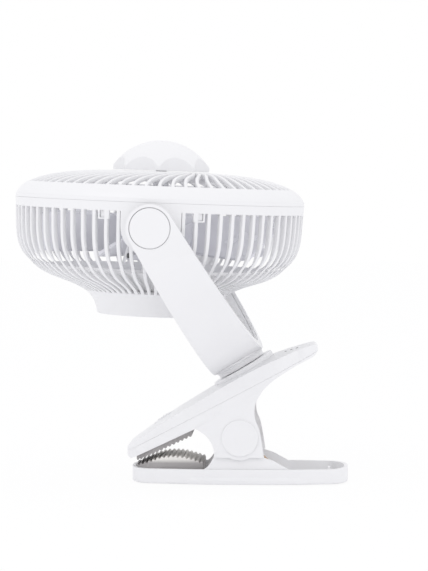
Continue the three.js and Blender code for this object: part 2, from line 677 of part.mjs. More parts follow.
function rotorCan() {
  const top = hubFloor - SEAT_GAP;
  return revolve([
    [SHAFT_RADIUS + 0.2, top],
    [rotorOuter, top],
    [rotorOuter, down(impellerBottom - 3)],
    [rotorOuter - ROTOR_WALL, down(impellerBottom - 3)],
    [rotorOuter - ROTOR_WALL, top - ROTOR_WALL],
    [SHAFT_RADIUS + 0.2, top - ROTOR_WALL],
  ]);
}

function blade(index) {
  const grid = new THREE.BoxGeometry(1, 1, 1, 3, 3, 1);
  const start = (index * 360 / BLADES) * DEG;
  const root = IMPELLER_HUB_RADIUS - 1;
  return moved(grid, (p) => {
    const out = p.x + 0.5;
    const radius = root + (bladeTip - root) * out;
    const chord = THREE.MathUtils.lerp(BLADE_ROOT_CHORD, BLADE_TIP_CHORD, out) * DEG;
    const rise = THREE.MathUtils.lerp(BLADE_ROOT_HEIGHT, BLADE_TIP_HEIGHT, out);
    const turn = start - out * BLADE_SWEEP * DEG + p.y * chord;
    const camber = 2.5 * (1 - 4 * p.y * p.y) * out;
    p.set(
      radius * Math.cos(turn),
      radius * Math.sin(turn),
      down(impellerBottom - BLADE_RISE) + p.y * rise + p.z * BLADE_THICKNESS + camber,
    );
  });
}

function impeller() {
  const hub = revolve([
    [SHAFT_RADIUS + 0.2, hubTop + 1],
    [8, hubTop + 1],
    [IMPELLER_HUB_RADIUS - 4, hubTop - 0.6],
    [IMPELLER_HUB_RADIUS, hubTop - 4.6],
    [IMPELLER_HUB_RADIUS, down(impellerBottom)],
    [IMPELLER_HUB_RADIUS - IMPELLER_WALL, down(impellerBottom)],
    [IMPELLER_HUB_RADIUS - IMPELLER_WALL, hubFloor - 4],
    [IMPELLER_HUB_RADIUS - IMPELLER_WALL, hubFloor],
    [SHAFT_RADIUS + 0.2, hubFloor],
  ], 20);
  return join(hub, ...Array.from({ length: BLADES }, (_, i) => blade(i)));
}

function bearing(top) {
  return tube(SHAFT_RADIUS + 0.2, BEARING_RADIUS, top - BEARING_HEIGHT, top, 12);
}

function spinnerNut() {
  const bottom = hubTop + 1 + SEAT_GAP;
  return revolve([
    [SHAFT_RADIUS + 0.2, bottom],
    [HUB_BOSS_RADIUS, bottom],
    [HUB_BOSS_RADIUS, bottom + 3],
    [HUB_BOSS_RADIUS - 2, shaftTop + NUT_PROUD],
    [0, shaftTop + NUT_PROUD],
    [0, shaftTop + SEAT_GAP],
    [SHAFT_RADIUS + 0.2, shaftTop + SEAT_GAP],
  ], 12);
}

const bearingTops = [down(statorTop + 0.4), pedestalTop + 1.6];
piece(head, "motor_mount", motorMount(), "shell");
piece(head, "motor_stator", motorStator(), "copper");
piece(head, "front_bearing", bearing(bearingTops[0]), "steel");
piece(head, "rear_bearing", bearing(bearingTops[1]), "steel");
piece(head, "impeller", impeller(), "blade");
piece(head, "rotor_can", rotorCan(), "steel");
piece(head, "rotor_magnet", tube(magnetOuter - MAGNET_THICKNESS, magnetOuter,
  down(impellerBottom - 4), down(statorTop)), "magnet");
piece(head, "motor_shaft", rod(SHAFT_RADIUS, pedestalTop - 3.4, shaftTop, 12), "steel");
piece(head, "spinner_nut", spinnerNut(), "shell");

// ---------- Motor board and the lead from the near pivot ----------

const motorBoardTop = down(mountFloor) - MOTOR_BOARD_DROP;

piece(head, "motor_board", tube(...MOTOR_BOARD_RADII, motorBoardTop - MOTOR_BOARD_THICKNESS, motorBoardTop, 12),
  "board");

// The motor's lead leaves the hollow pivot boss and runs down inside the ribs to the motor mount.
function motorLead() {
  const inside = Math.max(BOWL_WALL, CAGE_RIB_DEPTH) + MOTOR_LEAD_RADIUS + 2 * SEAT_GAP;
  const [first, last] = [PIVOT_DROP + 7, shoulderDepth - 10.1];
  const depths = [0, 4, 8, 11, 14, 17].map((step) => first + ((last - first) * step) / 17);
  const wallLine = offsetLine(bowlAt(...depths), -inside);
  const points = wallLine.map((p, i) => {
    const across = MOTOR_LEAD_OFFSET - i * 0.8;
    return new THREE.Vector3(across, -Math.sqrt(p.x ** 2 - across ** 2), p.y);
  });
  return wire(points, MOTOR_LEAD_RADIUS, 12);
}
piece(head, "motor_lead", motorLead(), "lead");

// ---------- Yoke: two arms and a foot in one band, with a liner over its channel ----------

const yokeOuter = YOKE_INNER_RADIUS + YOKE_THICKNESS;
const endHalf = YOKE_END_WIDTH / 2;
const footHalf = YOKE_FOOT_WIDTH / 2;

// A U of two radii, drawn in Y and Z: a half ring whose arms run straight up past the pivot.
function uShape(inner, outer, top) {
  const shape = new THREE.Shape();
  shape.moveTo(-outer, top);
  shape.lineTo(-outer, 0);
  shape.absarc(0, 0, outer, 180 * DEG, 360 * DEG);
  shape.lineTo(outer, top);
  shape.lineTo(inner, top);
  shape.lineTo(inner, 0);
  shape.absarc(0, 0, inner, 0, 180 * DEG, true);
  shape.lineTo(-inner, top);
  return shape;
}

// The band seen from the side: round ends at the pivot, and wider at the foot.
function bandSide(inset) {
  const shape = new THREE.Shape();
  const bottom = -yokeOuter - 1;
  shape.moveTo(-footHalf + inset, bottom);
  shape.lineTo(footHalf - inset, bottom);
  shape.lineTo(endHalf - inset, 0);
  shape.absarc(0, 0, endHalf - inset, 0, 180 * DEG);
  return shape;
}

function band(inner, outer, inset) {
  const ring = solid(endways(uShape(inner, outer, endHalf + 1), -footHalf, footHalf));
  return ring.intersect(solid(sideways(bandSide(inset), -outer - 1, outer + 1)));
}

const channelFloor = yokeOuter - YOKE_WALL;
const capFloor = yokeOuter - PIVOT_CAP_THICKNESS - SEAT_GAP;
const pinFloor = capFloor - PIN_HEAD_THICKNESS - 2 * SEAT_GAP;
const pinHoleRadius = PIVOT_PIN_RADIUS + SEAT_GAP;
const spigotBottom = -discBottom - JAW_WALL - 2 * RUN_GAP;

function yokeFrame() {
  const channel = band(YOKE_INNER_RADIUS - 1, channelFloor, YOKE_WALL);
  let frame = band(YOKE_INNER_RADIUS, yokeOuter, 0).subtract(channel);
  for (const side of SIDES) {
    const from = side * (YOKE_INNER_RADIUS + LINER_THICKNESS + SEAT_GAP);
    const to = side * (yokeOuter - 1);
    const seat = crossRod(PIVOT_CAP_RADIUS + 0.6, Math.min(from, to), Math.max(from, to), 24);
    frame = frame.add(solid(seat));
  }
  const neck = revolve([
    [0, spigotBottom],
    [SWIVEL_SPIGOT_RADIUS, spigotBottom],
    [SWIVEL_SPIGOT_RADIUS, -discTop + RUN_GAP],
    [NECK_PIN_RADIUS, -discTop + RUN_GAP],
    [NECK_PIN_RADIUS + 0.6, -yokeOuter + 1.5],
    [0, -yokeOuter + 1.5],
  ]);
  frame = frame.add(solid(neck));
  const recesses = SIDES.map((side) => {
    const from = side * capFloor;
    const to = side * (yokeOuter + 1);
    return crossRod(PIVOT_CAP_RADIUS + SEAT_GAP, Math.min(from, to), Math.max(from, to), 24);
  });
  const headSeats = SIDES.map((side) => {
    const from = side * pinFloor;
    const to = side * (capFloor + 1);
    return crossRod(PIN_HEAD_RADIUS + SEAT_GAP, Math.min(from, to), Math.max(from, to), 16);
  });
  const pinHole = crossRod(pinHoleRadius, -yokeOuter - 1, yokeOuter + 1, 16);
  return cut(frame, ...recesses, ...headSeats, pinHole,
    rod(SWIVEL_SCREW_RADIUS + SEAT_GAP, spigotBottom - 1, spigotBottom + 9, 12));
}

function yokeLiner() {
  const strip = band(YOKE_INNER_RADIUS, YOKE_INNER_RADIUS + LINER_THICKNESS, YOKE_WALL + SEAT_GAP);
  return cut(strip, crossRod(LINER_HOLE_RADIUS, -yokeOuter, yokeOuter, 20));
}

// A shouldered pin, turned inwards from each arm into the bowl's boss, with its head under the cap.
function pivotPin(side) {
  const head = capFloor - SEAT_GAP;
  const pin = revolve([
    [0, HEAD_RADIUS - BOWL_WALL - 2],
    [PIVOT_PIN_RADIUS, HEAD_RADIUS - BOWL_WALL - 2],
    [PIVOT_PIN_RADIUS, head - PIN_HEAD_THICKNESS],
    [PIN_HEAD_RADIUS, head - PIN_HEAD_THICKNESS],
    [PIN_HEAD_RADIUS, head],
    [0, head],
  ], 16);
  return pin.rotateX(-90 * side * DEG);
}

function pivotCap(side) {
  const cap = revolve([
    [0, capFloor + SEAT_GAP / 2],
    [PIVOT_CAP_RADIUS, capFloor + SEAT_GAP / 2],
    [PIVOT_CAP_RADIUS, yokeOuter - 0.5],
    [PIVOT_CAP_RADIUS - 0.5, yokeOuter],
    [0, yokeOuter],
  ], 24);
  return cap.rotateX(-90 * side * DEG);
}

function frictionWasher(side) {
  const from = side * (bossFace + SEAT_GAP);
  const to = side * (bossFace + SEAT_GAP + WASHER_THICKNESS);
  return crossTube(pinHoleRadius, WASHER_RADIUS, Math.min(from, to), Math.max(from, to), 12);
}

// The lead's way through the channel, from the near pivot down to the foot.
function yokeLead() {
  const radius = (YOKE_INNER_RADIUS + LINER_THICKNESS + channelFloor) / 2;
  const points = [];
  for (let i = 0; i <= 9; i++) {
    const a = (192 + i * 8) * DEG;
    points.push(new THREE.Vector3(0, radius * Math.cos(a), radius * Math.sin(a)));
  }
  return wire(points, LEAD_RADIUS, 16);
}

const SIDE_NAMES = { "-1": "near", 1: "far" };
piece(yoke, "yoke_frame", yokeFrame(), "shell");
piece(yoke, "yoke_liner", yokeLiner(), "shell");
piece(yoke, "yoke_lead", yokeLead(), "lead");
for (const side of SIDES) {
  const name = SIDE_NAMES[side];
  piece(yoke, `pivot_pin_${name}`, pivotPin(side), "steel");
  piece(yoke, `pivot_cap_${name}`, pivotCap(side), "shell");
  piece(yoke, `friction_washer_${name}`, frictionWasher(side), "rubber");
}

function swivelWasher() {
  const top = spigotBottom - SEAT_GAP;
  return tube(SWIVEL_SCREW_RADIUS + SEAT_GAP, SWIVEL_WASHER_RADIUS, top - 1.2, top, 12);
}

function swivelScrew() {
  const under = spigotBottom - 2 * SEAT_GAP - 1.2;
  return revolve([
    [0, under - 2],
    [4, under - 2],
    [4, under],
    [SWIVEL_SCREW_RADIUS, under],
    [SWIVEL_SCREW_RADIUS, spigotBottom + 8],
    [0, spigotBottom + 8],
  ], 12);
}

piece(yoke, "swivel_washer", swivelWasher(), "steel");
piece(yoke, "swivel_screw", swivelScrew(), "steel");
const disc = placed(fan, PIVOT_X, PIVOT_Z, -YOKE_LEAN);
const spigotHole = SWIVEL_SPIGOT_RADIUS + RUN_GAP;
piece(disc, "swivel_disc", tube(spigotHole, SWIVEL_DISC_RADIUS, -discBottom, -discTop, 32), "shell");

// ---------- Clip: the upper jaw ----------

const seamSlope = (JAW_TAIL_Z - JAW_NOSE_Z) / (JAW_TAIL_X - JAW_NOSE_X);
const seamAt = (x) => JAW_NOSE_Z + (x - JAW_NOSE_X) * seamSlope;
const coverGap = SEAT_GAP / 2;
const overClip = JAW_TAIL_Z + 18; // clear over the clip's highest point

// A plan outline with round corners and sides that swell to the middle.
function boatShape(front, tail, frontHalf, middleHalf, tailHalf, middleX, corner) {
  const shape = new THREE.Shape();
  const bulge = (tail - front) * 0.22;
  shape.moveTo(front + corner, -frontHalf);
  shape.bezierCurveTo(middleX - bulge, -middleHalf, middleX - bulge, -middleHalf, middleX, -middleHalf);
  shape.bezierCurveTo(middleX + bulge, -middleHalf, middleX + bulge, -middleHalf, tail - corner, -tailHalf);
  shape.quadraticCurveTo(tail, -tailHalf, tail, 0);
  shape.quadraticCurveTo(tail, tailHalf, tail - corner, tailHalf);
  shape.bezierCurveTo(middleX + bulge, middleHalf, middleX + bulge, middleHalf, middleX, middleHalf);
  shape.bezierCurveTo(middleX - bulge, middleHalf, middleX - bulge, middleHalf, front + corner, frontHalf);
  shape.quadraticCurveTo(front, frontHalf, front, 0);
  shape.quadraticCurveTo(front, -frontHalf, front + corner, -frontHalf);
  return shape;
}

function jawPlan(inset) {
  return boatShape(JAW_NOSE_X + inset, JAW_TAIL_X - inset, JAW_NOSE_HALF - inset,
    CHEEK_FACE - inset, JAW_TAIL_HALF - inset, 0, JAW_CORNER);
}

function coverSide(inset) {
  const shape = new THREE.Shape();
  const seam = inset > 0 ? -1 : coverGap;
  shape.moveTo(JAW_NOSE_X + inset * 2, seamAt(JAW_NOSE_X + inset * 2) + seam);
  const line = new THREE.SplineCurve(COVER_TOP.map(([x, z]) => new THREE.Vector2(x, z)));
  offsetLine(line.getPoints(6), -inset).forEach((p) => shape.lineTo(p.x - inset * 0.6, p.y));
  shape.lineTo(JAW_TAIL_X - inset * 3, seamAt(JAW_TAIL_X - inset * 3) + seam);
  shape.closePath();
  return shape;
}

function crowned(shape, half) {
  const block = sideways(shape, -half, half, 4);
  return moved(block, (p) => {
    const above = Math.max(p.z - seamAt(p.x), 0);
    p.z -= CROWN * Math.abs(p.y / CHEEK_FACE) ** 2.5 * Math.min(above / 6, 1);
  });
}

const discSlot = rod(SWIVEL_DISC_RADIUS + SEAT_GAP, -discBottom - SEAT_GAP, -discTop + 20, 32);
const spigotSlot = rod(spigotHole, -discBottom - 30, -discTop);

function atYoke(geometry) {
  return geometry.clone().rotateY(-YOKE_LEAN * DEG).translate(PIVOT_X, 0, PIVOT_Z);
}

// Square to the cover at a place on its top line.
function onCover(x, geometry) {
  const line = new THREE.SplineCurve(COVER_TOP.map(([px, z]) => new THREE.Vector2(px, z)));
  const points = line.getPoints(6);
  const next = points.findIndex((p) => p.x >= x);
  const [a, b] = [points[next - 1], points[next]];
  const z = a.y + ((b.y - a.y) * (x - a.x)) / (b.x - a.x);
  const slope = Math.atan2(b.y - a.y, b.x - a.x);
  return geometry.rotateY(-slope).translate(x, 0, z);
}

function jawCover() {
  const outside = solid(crowned(coverSide(0), CHEEK_FACE + 1));
  let cover = outside.intersect(solid(upright(jawPlan(0), 0, overClip)));
  const inside = solid(sideways(coverSide(JAW_WALL + 1), -CHEEK_FACE, CHEEK_FACE));
  cover = cover.subtract(inside.intersect(solid(upright(jawPlan(JAW_WALL), 0, overClip))));
  const buttonHole = onCover(BUTTON_X, rod(BUTTON_RADIUS + RUN_GAP, -10, 5, 24));
  const lights = lightPlaces().map((x) =>
    onCover(x, rod(LIGHT_RADIUS + 0.15, -8, 4, 10).translate(0, LIGHT_Y, 0)));
  const seatWall = tube(spigotHole, SWIVEL_DISC_RADIUS - 3, -discBottom - SEAT_GAP - JAW_WALL, -discBottom - SEAT_GAP);
  cover = cover.add(solid(atYoke(seatWall)).intersect(outside));
  return cut(cover, atYoke(discSlot), atYoke(spigotSlot), buttonHole, ...lights);
}

function lightPlaces() {
  return Array.from({ length: LIGHT_COUNT }, (_, i) => LIGHT_FIRST_X + i * LIGHT_PITCH);
}

// The closed housing under the seam: nose, sloping floor and the thumb plate's underside.
const housingUnder = [...THUMB_UNDER, FLOOR_TOP, FLOOR_END, FLOOR_NOSE];
const noseSlope = (FLOOR_END[1] - FLOOR_NOSE[1]) / (FLOOR_END[0] - FLOOR_NOSE[0]);
const underNose = (x) => FLOOR_NOSE[1] + (x - FLOOR_NOSE[0]) * noseSlope;

function jawSide() {
  const shape = new THREE.Shape();
  shape.moveTo(JAW_NOSE_X, JAW_NOSE_Z - coverGap);
  shape.lineTo(JAW_TAIL_X, JAW_TAIL_Z - coverGap);
  housingUnder.forEach(([x, z]) => shape.lineTo(x, z));
  shape.closePath();
  return shape;
}

function jawHollow() {
  const top = 2;
  const shape = new THREE.Shape();
  const [nose, tail] = HOLLOW_ENDS;
  const [, thumbFront, thumbBend] = THUMB_UNDER;
  shape.moveTo(nose, seamAt(nose) + top);
  shape.lineTo(tail, seamAt(tail) + top);
  shape.lineTo(thumbFront[0] + 1, thumbFront[1] + JAW_WALL);
  shape.lineTo(thumbBend[0], thumbBend[1] + JAW_WALL + 0.6);
  shape.lineTo(FLOOR_TOP[0], FLOOR_TOP[1] + JAW_WALL + 2.6);
  shape.lineTo(FLOOR_END[0], FLOOR_END[1] + JAW_WALL);
  shape.lineTo(nose, FLOOR_NOSE[1] + HOLLOW_NOSE_RISE + JAW_WALL);
  shape.closePath();
  return shape;
}

// A cheek seen from the side: a throat in front, a dip round the cap below, a sloping rear edge.
function cheekSide() {
  const shape = new THREE.Shape();
  const dip = Math.acos((SPRING_PIN_HEIGHT - CHEEK_BOTTOM) / CHEEK_BOSS_RADIUS);
  shape.moveTo(...FLOOR_END);
  shape.bezierCurveTo(-21, 31.5, -15, 26, -16, CHEEK_BOTTOM);
  shape.absarc(0, SPRING_PIN_HEIGHT, CHEEK_BOSS_RADIUS, -90 * DEG - dip, -90 * DEG + dip);
  shape.lineTo(14.9, CHEEK_BOTTOM);
  shape.lineTo(12.2, 33);
  shape.lineTo(9.4, 41);
  shape.lineTo(9.2, 48);
  shape.lineTo(...THUMB_UNDER.at(-1));
  shape.lineTo(FLOOR_TOP[0] - 20, FLOOR_TOP[1] - 6.5);
  shape.closePath();
  return shape;
}

const cheekInner = CHEEK_FACE - CHEEK_WALL;

function cheek(side) {
  const from = side * cheekInner;
  const to = side * CHEEK_FACE;
  return sideways(cheekSide(), Math.min(from, to), Math.max(from, to));
}

const [socketX, socketZ] = SOCKET_AT;

function jawBody() {
  const plan = solid(upright(jawPlan(0), 0, overClip));
  let body = solid(sideways(jawSide(), -CHEEK_FACE - 1, CHEEK_FACE + 1)).intersect(plan);
  const hollow = solid(sideways(jawHollow(), -CHEEK_FACE, CHEEK_FACE));
  body = body.subtract(hollow.intersect(solid(upright(jawPlan(JAW_WALL), 0, overClip))));
  body = body.add(join(...SIDES.map(cheek)));
  const [width, height] = SOCKET.map((v) => v + 2 * SEAT_GAP);
  const slot = box([-width / 2, 10, -height / 2], [width / 2, CHEEK_FACE + 2, height / 2])
    .rotateY(-Math.atan(seamSlope)).translate(socketX, 0, socketZ);
  const pin = crossRod(SPRING_PIN_RADIUS + RUN_GAP, -CHEEK_FACE - 1, CHEEK_FACE + 1)
    .translate(0, 0, SPRING_PIN_HEIGHT);
  return cut(body, slot, pin);
}

piece(clip, "jaw_cover", jawCover(), "shell");
piece(clip, "jaw_body", jawBody(), "shell");

// ---------- Clip: pads, cap, lights, button and what the upper jaw holds ----------

const wallHalf = BASE_HALF - BASE_LIP_PROUD;

function basePlan(inset, middleHalf) {
  return boatShape(BASE_FRONT_X + inset, BASE_TAIL_X - inset, BASE_FRONT_HALF - inset,
    middleHalf - inset, BASE_TAIL_HALF - inset, BASE_MIDDLE_X, BASE_CORNER);
}

// A toothed pad seen from the side: a plain back and a row of teeth along its face.
function padSide(back, face, teethUp) {
  const [start, end] = [face[0], face.at(-1)];
  const faceAt = (x) => {
    const next = Math.max(face.findIndex(([fx]) => fx >= x), 1);
    const [[ax, az], [bx, bz]] = [face[next - 1], face[next]];
    return az + ((bz - az) * (x - ax)) / (bx - ax);
  };
  const shape = outlineOf([...back].reverse());
  const count = Math.round((end[0] - start[0]) / PAD_PITCH);
  for (let i = 0; i < count; i++) {
    const x = start[0] + (i * (end[0] - start[0])) / count;
    const tip = x + PAD_PITCH / 2;
    shape.lineTo(x, faceAt(x) - teethUp * PAD_TOOTH);
    shape.lineTo(tip, faceAt(tip));
  }
  shape.lineTo(end[0], faceAt(end[0]) - teethUp * PAD_TOOTH);
  shape.closePath();
  return shape;
}

const upperBack = UPPER_PAD_ENDS.map((x) => [x, underNose(x) - SEAT_GAP]);
const upperFace = [UPPER_PAD_ENDS[0], UPPER_PAD_ENDS[1] - 0.5].map((x, i) => [x, underNose(x) - UPPER_PAD_THICKNESS[i]]);
const lowerBack = LOWER_PAD_ENDS.map((x) => [x, PAD_SEAT + SEAT_GAP]);

function pad(shape, inset) {
  const block = solid(sideways(shape, -PAD_HALF, PAD_HALF));
  return block.intersect(solid(upright(basePlan(inset, wallHalf), 0, overClip)));
}

const padInset = BASE_WALL + SEAT_GAP;
piece(clip, "upper_pad", pad(padSide(upperBack, upperFace, -1), padInset), "rubber");
piece(clip, "lower_pad", pad(padSide(lowerBack, LOWER_PAD_FACE, 1), padInset), "rubber");

function springCap(side) {
  const cap = revolve([
    [0, CHEEK_FACE + SEAT_GAP / 2],
    [SPRING_CAP_RADIUS, CHEEK_FACE + SEAT_GAP / 2],
    [SPRING_CAP_RADIUS, CHEEK_FACE + SPRING_CAP_PROUD],
    [SPRING_CAP_RADIUS - 0.6, CHEEK_FACE + SPRING_CAP_PROUD + 0.4],
    [0, CHEEK_FACE + SPRING_CAP_PROUD + 0.4],
  ], 24);
  return cap.rotateX(-90 * side * DEG).translate(0, 0, SPRING_PIN_HEIGHT);
}

for (const side of SIDES) {
  piece(clip, `spring_cap_${SIDE_NAMES[side]}`, springCap(side), "shell");
}

// Inside the housing everything lies along its slope.
function inJaw(x, z, geometry) {
  return geometry.rotateY(-Math.atan(seamSlope)).translate(x, 0, z);
}

const [cellLength, cellWidth, cellHeight] = BATTERY;
const cellX = BUTTON_X + BUTTON_RADIUS + BATTERY_FROM_BUTTON;
const cell = box([-cellLength / 2, -cellWidth / 2, -cellHeight / 2], [cellLength / 2, cellWidth / 2, cellHeight / 2]);
piece(clip, "battery_cell", inJaw(cellX, seamAt(cellX) + 1, cell), "cell");

const [boardLength, boardWidth, boardHeight] = BOARD;
const boardX = BUTTON_X - 1.5;
function controlBoard() {
  const plate = box([-boardLength / 2, -boardWidth / 2, -boardHeight], [boardLength / 2, boardWidth / 2, 0]);
  const keySwitch = box([-2.5, -3, -0.1], [3.5, 3, SWITCH_HEIGHT]);
  return join(plate, keySwitch);
}
piece(clip, "control_board", inJaw(boardX, seamAt(boardX) - 0.6, geometryOf(controlBoard())), "board");

function usbSocket() {
  const [width, height, depth] = SOCKET;
  const face = CHEEK_FACE - 0.6;
  const can = box([-width / 2, face - depth, -height / 2], [width / 2, face, height / 2]);
  const mouth = box([-width / 2 + 0.5, face - depth + 1, -height / 2 + 0.5], [width / 2 - 0.5, face + 1, height / 2 - 0.5]);
  return inJaw(socketX, socketZ, geometryOf(cut(solid(can), mouth)));
}
piece(clip, "usb_socket", usbSocket(), "steel");

function indicatorLens() {
  const places = lightPlaces();
  const middle = places[(LIGHT_COUNT - 1) / 2];
  const bar = onCover(middle, box([-6, LIGHT_Y - 1.6, -4.6], [6, LIGHT_Y + 1.6, -3]));
  const pips = places.map((x) => onCover(x, rod(LIGHT_RADIUS, -4, 0, 10).translate(0, LIGHT_Y, 0)));
  return join(bar, ...pips);
}
piece(clip, "indicator_lens", indicatorLens(), "light");

function powerButton() {
  return join(
    rod(BUTTON_RADIUS, -1.6, BUTTON_PROUD, 20),
    rod(BUTTON_RADIUS + 0.9, -4.6, -3.8, 12),
    rod(BUTTON_RADIUS - 1, -4, -1, 12),
    rod(1.5, -BUTTON_STEM, -4, 8),
  );
}
piece(clip, "power_button", onCover(BUTTON_X, geometryOf(powerButton())), "shell");

// ---------- Clip: the lower jaw ----------

const earOuter = cheekInner - RUN_GAP;
const earInner = earOuter - EAR_WALL;

// A raised side wall and the ear on it that holds the spring pin, inside the cheek.
function ear(side) {
  const shape = new THREE.Shape();
  const rise = CHEEK_BOTTOM - 0.2;
  shape.moveTo(-22, 4);
  shape.lineTo(30, 4);
  shape.lineTo(30, BASE_WALL_HEIGHT);
  shape.lineTo(20.4, rise - 2);
  shape.lineTo(14.4, rise);
  shape.lineTo(6, rise + 6);
  shape.absarc(0, SPRING_PIN_HEIGHT, 7, 0, 180 * DEG);
  shape.lineTo(-6, rise + 6);
  shape.lineTo(-16.4, rise);
  shape.quadraticCurveTo(-19, 11, -22, BASE_WALL_HEIGHT);
  shape.closePath();
  const from = side * earInner;
  const to = side * earOuter;
  return sideways(shape, Math.min(from, to), Math.max(from, to));
}

function baseShell() {
  const lip = solid(upright(basePlan(0, BASE_HALF), FOOT_PROUD, BASE_LIP_HEIGHT));
  const wall = solid(upright(basePlan(0, wallHalf), BASE_LIP_HEIGHT - 0.5, BASE_WALL_HEIGHT));
  const tray = solid(upright(basePlan(BASE_WALL, wallHalf), FOOT_PROUD + BASE_FLOOR, 40));
  const padFloor = box([BASE_FRONT_X, -BASE_HALF, 0], [LOWER_PAD_ENDS[1] + 1.1, BASE_HALF, PAD_SEAT]);
  let shell = lip.add(wall).subtract(tray);
  shell = shell.add(solid(padFloor).intersect(lip.add(wall)));
  shell = shell.add(join(...SIDES.map(ear)));
  const footSlot = upright(footPlan(-SEAT_GAP), -1, FOOT_THICKNESS + SEAT_GAP);
  const pin = crossRod(SPRING_PIN_RADIUS + SEAT_GAP, -CHEEK_FACE, CHEEK_FACE, 16).translate(0, 0, SPRING_PIN_HEIGHT);
  return cut(shell, footSlot, pin);
}

function footPlan(inset) {
  const half = BASE_TAIL_HALF - 8 - inset;
  return boatShape(BASE_FRONT_X + 8 + inset, BASE_TAIL_X - 8 - inset, half, half + 2, half, 0, 10);
}

piece(clip, "base_shell", baseShell(), "shell");
piece(clip, "base_foot", upright(footPlan(0), 0, FOOT_THICKNESS), "rubber");
const pinHalf = CHEEK_FACE - 0.2;
piece(clip, "spring_pin", crossRod(SPRING_PIN_RADIUS, -pinHalf, pinHalf, 16).translate(0, 0, SPRING_PIN_HEIGHT), "steel");

// The torsion spring: turns round the pin, one leg down into the tail tray, one up under the thumb plate.
function torsionSpring() {
  const points = [];
  const at = (x, y, z) => points.push(new THREE.Vector3(x, y, z));
  const pitch = 2 * SPRING_WIRE_RADIUS + 0.9;
  const startY = (-SPRING_TURNS * pitch) / 2;
  const r = SPRING_COIL_RADIUS;
  const trayZ = FOOT_PROUD + BASE_FLOOR + SPRING_WIRE_RADIUS + 1;
  at(SPRING_LEG_END_X, startY, trayZ);
  at(SPRING_LEG_END_X - 14, startY, trayZ);
  at(24, startY, trayZ + 2);
  at(12, startY, SPRING_PIN_HEIGHT - r - 1);
  const perTurn = 8;
  const count = SPRING_TURNS * perTurn;
  for (let i = 0; i <= count; i++) {
    const a = (-90 - (i * 360) / perTurn) * DEG;
    at(r * Math.cos(a), startY + (i / perTurn) * pitch, SPRING_PIN_HEIGHT + r * Math.sin(a));
  }
  const endY = startY + SPRING_TURNS * pitch;
  at(-r - 0.4, endY + 0.4, SPRING_PIN_HEIGHT + 3);
  at(-6, endY + 0.6, SPRING_PIN_HEIGHT + 12);
  SPRING_LEG_UNDER.forEach((under, i) => at(4 + 8 * i, endY + 0.6, FLOOR_TOP[1] - under));
  return wire(points, SPRING_WIRE_RADIUS, 60);
}
piece(clip, "torsion_spring", torsionSpring(), "spring");

export default fan;
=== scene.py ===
# %% [markdown]
# # A clip fan
# A round fan head hangs in a U-shaped yoke, and the yoke turns on top of a spring clip.
# The solids of all its pieces are loaded first. They are right in size and place, and faceted.
# The lesson then gives each piece its finish, and models anew the ones whose fine shape shows.

# %% Load the solids
import json
import math

import bpy
from mathutils import Matrix, Vector


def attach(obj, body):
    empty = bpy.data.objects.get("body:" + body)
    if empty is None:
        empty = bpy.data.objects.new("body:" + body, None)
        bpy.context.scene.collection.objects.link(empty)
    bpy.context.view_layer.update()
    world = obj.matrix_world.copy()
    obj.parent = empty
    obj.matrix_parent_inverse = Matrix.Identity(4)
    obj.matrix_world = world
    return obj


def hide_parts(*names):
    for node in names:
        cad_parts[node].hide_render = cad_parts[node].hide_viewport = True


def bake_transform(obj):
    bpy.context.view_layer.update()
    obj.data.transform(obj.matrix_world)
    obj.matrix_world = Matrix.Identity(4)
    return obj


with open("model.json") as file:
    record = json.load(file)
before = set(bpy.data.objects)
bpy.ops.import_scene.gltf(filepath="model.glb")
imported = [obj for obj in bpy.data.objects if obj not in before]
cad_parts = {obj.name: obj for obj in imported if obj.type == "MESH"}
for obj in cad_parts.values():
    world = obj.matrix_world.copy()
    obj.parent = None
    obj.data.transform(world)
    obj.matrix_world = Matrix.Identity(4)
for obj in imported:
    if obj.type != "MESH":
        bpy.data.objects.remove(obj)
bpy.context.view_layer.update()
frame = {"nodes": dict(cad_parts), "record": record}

# %% [markdown]
# A product photograph is taken with a long lens from far away, so that round things stay round.
# This one looks along +Y from a little above the clip. A camera is aimed by turning its -Z axis
# to the target, which is simpler to read than three angles. The picture is lifted a little in its
# middle tones, as a bright catalogue picture is.

# %% Camera
view = bpy.data.cameras.new("view")
view.lens = 158.9
view.sensor_width = 36
view.clip_end = 20
camera = bpy.data.objects.new("camera", view)
bpy.context.collection.objects.link(camera)
camera.location = (0.0407, -1.5725, 0.1909)
aim = Vector((-0.0169, 0, 0.1219)) - camera.location
camera.rotation_euler = aim.to_track_quat("-Z", "Y").to_euler()
bpy.context.scene.camera = camera
bpy.context.scene.view_settings.view_transform = "Standard"
bpy.context.scene.view_settings.gamma = 1.2
print("camera is", round(aim.length, 3), "m from its target")

# %% [markdown]
# White plastic on a white ground shows its shape only by soft shading, so the light is one large
# soft panel above and to the left, a weaker one on the right, and an even sky.
# Only the camera sees the sky and part of the floor as pure white. The object is lit plainly.

# %% Light, sky and floor
def panel(name, place, target, size, watts):
    lamp = bpy.data.lights.new(name, "AREA")
    lamp.shape = "DISK"
    lamp.size = size
    lamp.energy = watts
    held = bpy.data.objects.new(name, lamp)
    bpy.context.collection.objects.link(held)
    held.location = place
    held.rotation_euler = (Vector(target) - Vector(place)).to_track_quat("-Z", "Y").to_euler()
    return held


panel("key", (-0.9, -0.9, 1.5), (-0.03, 0, 0.12), 1.1, 3)
panel("fill", (1.3, -1.1, 0.7), (0, 0, 0.1), 1.2, 1.2)


def wired(tree, kind, values=None, **settings):
    """A shader node with its settings, and its sockets filled or linked."""
    node = tree.nodes.new(kind)
    for key, value in settings.items():
        setattr(node, key, value)
    for key, value in (values or {}).items():
        if isinstance(value, bpy.types.NodeSocket):
            tree.links.new(value, node.inputs[key])
        else:
            node.inputs[key].default_value = value
    return node


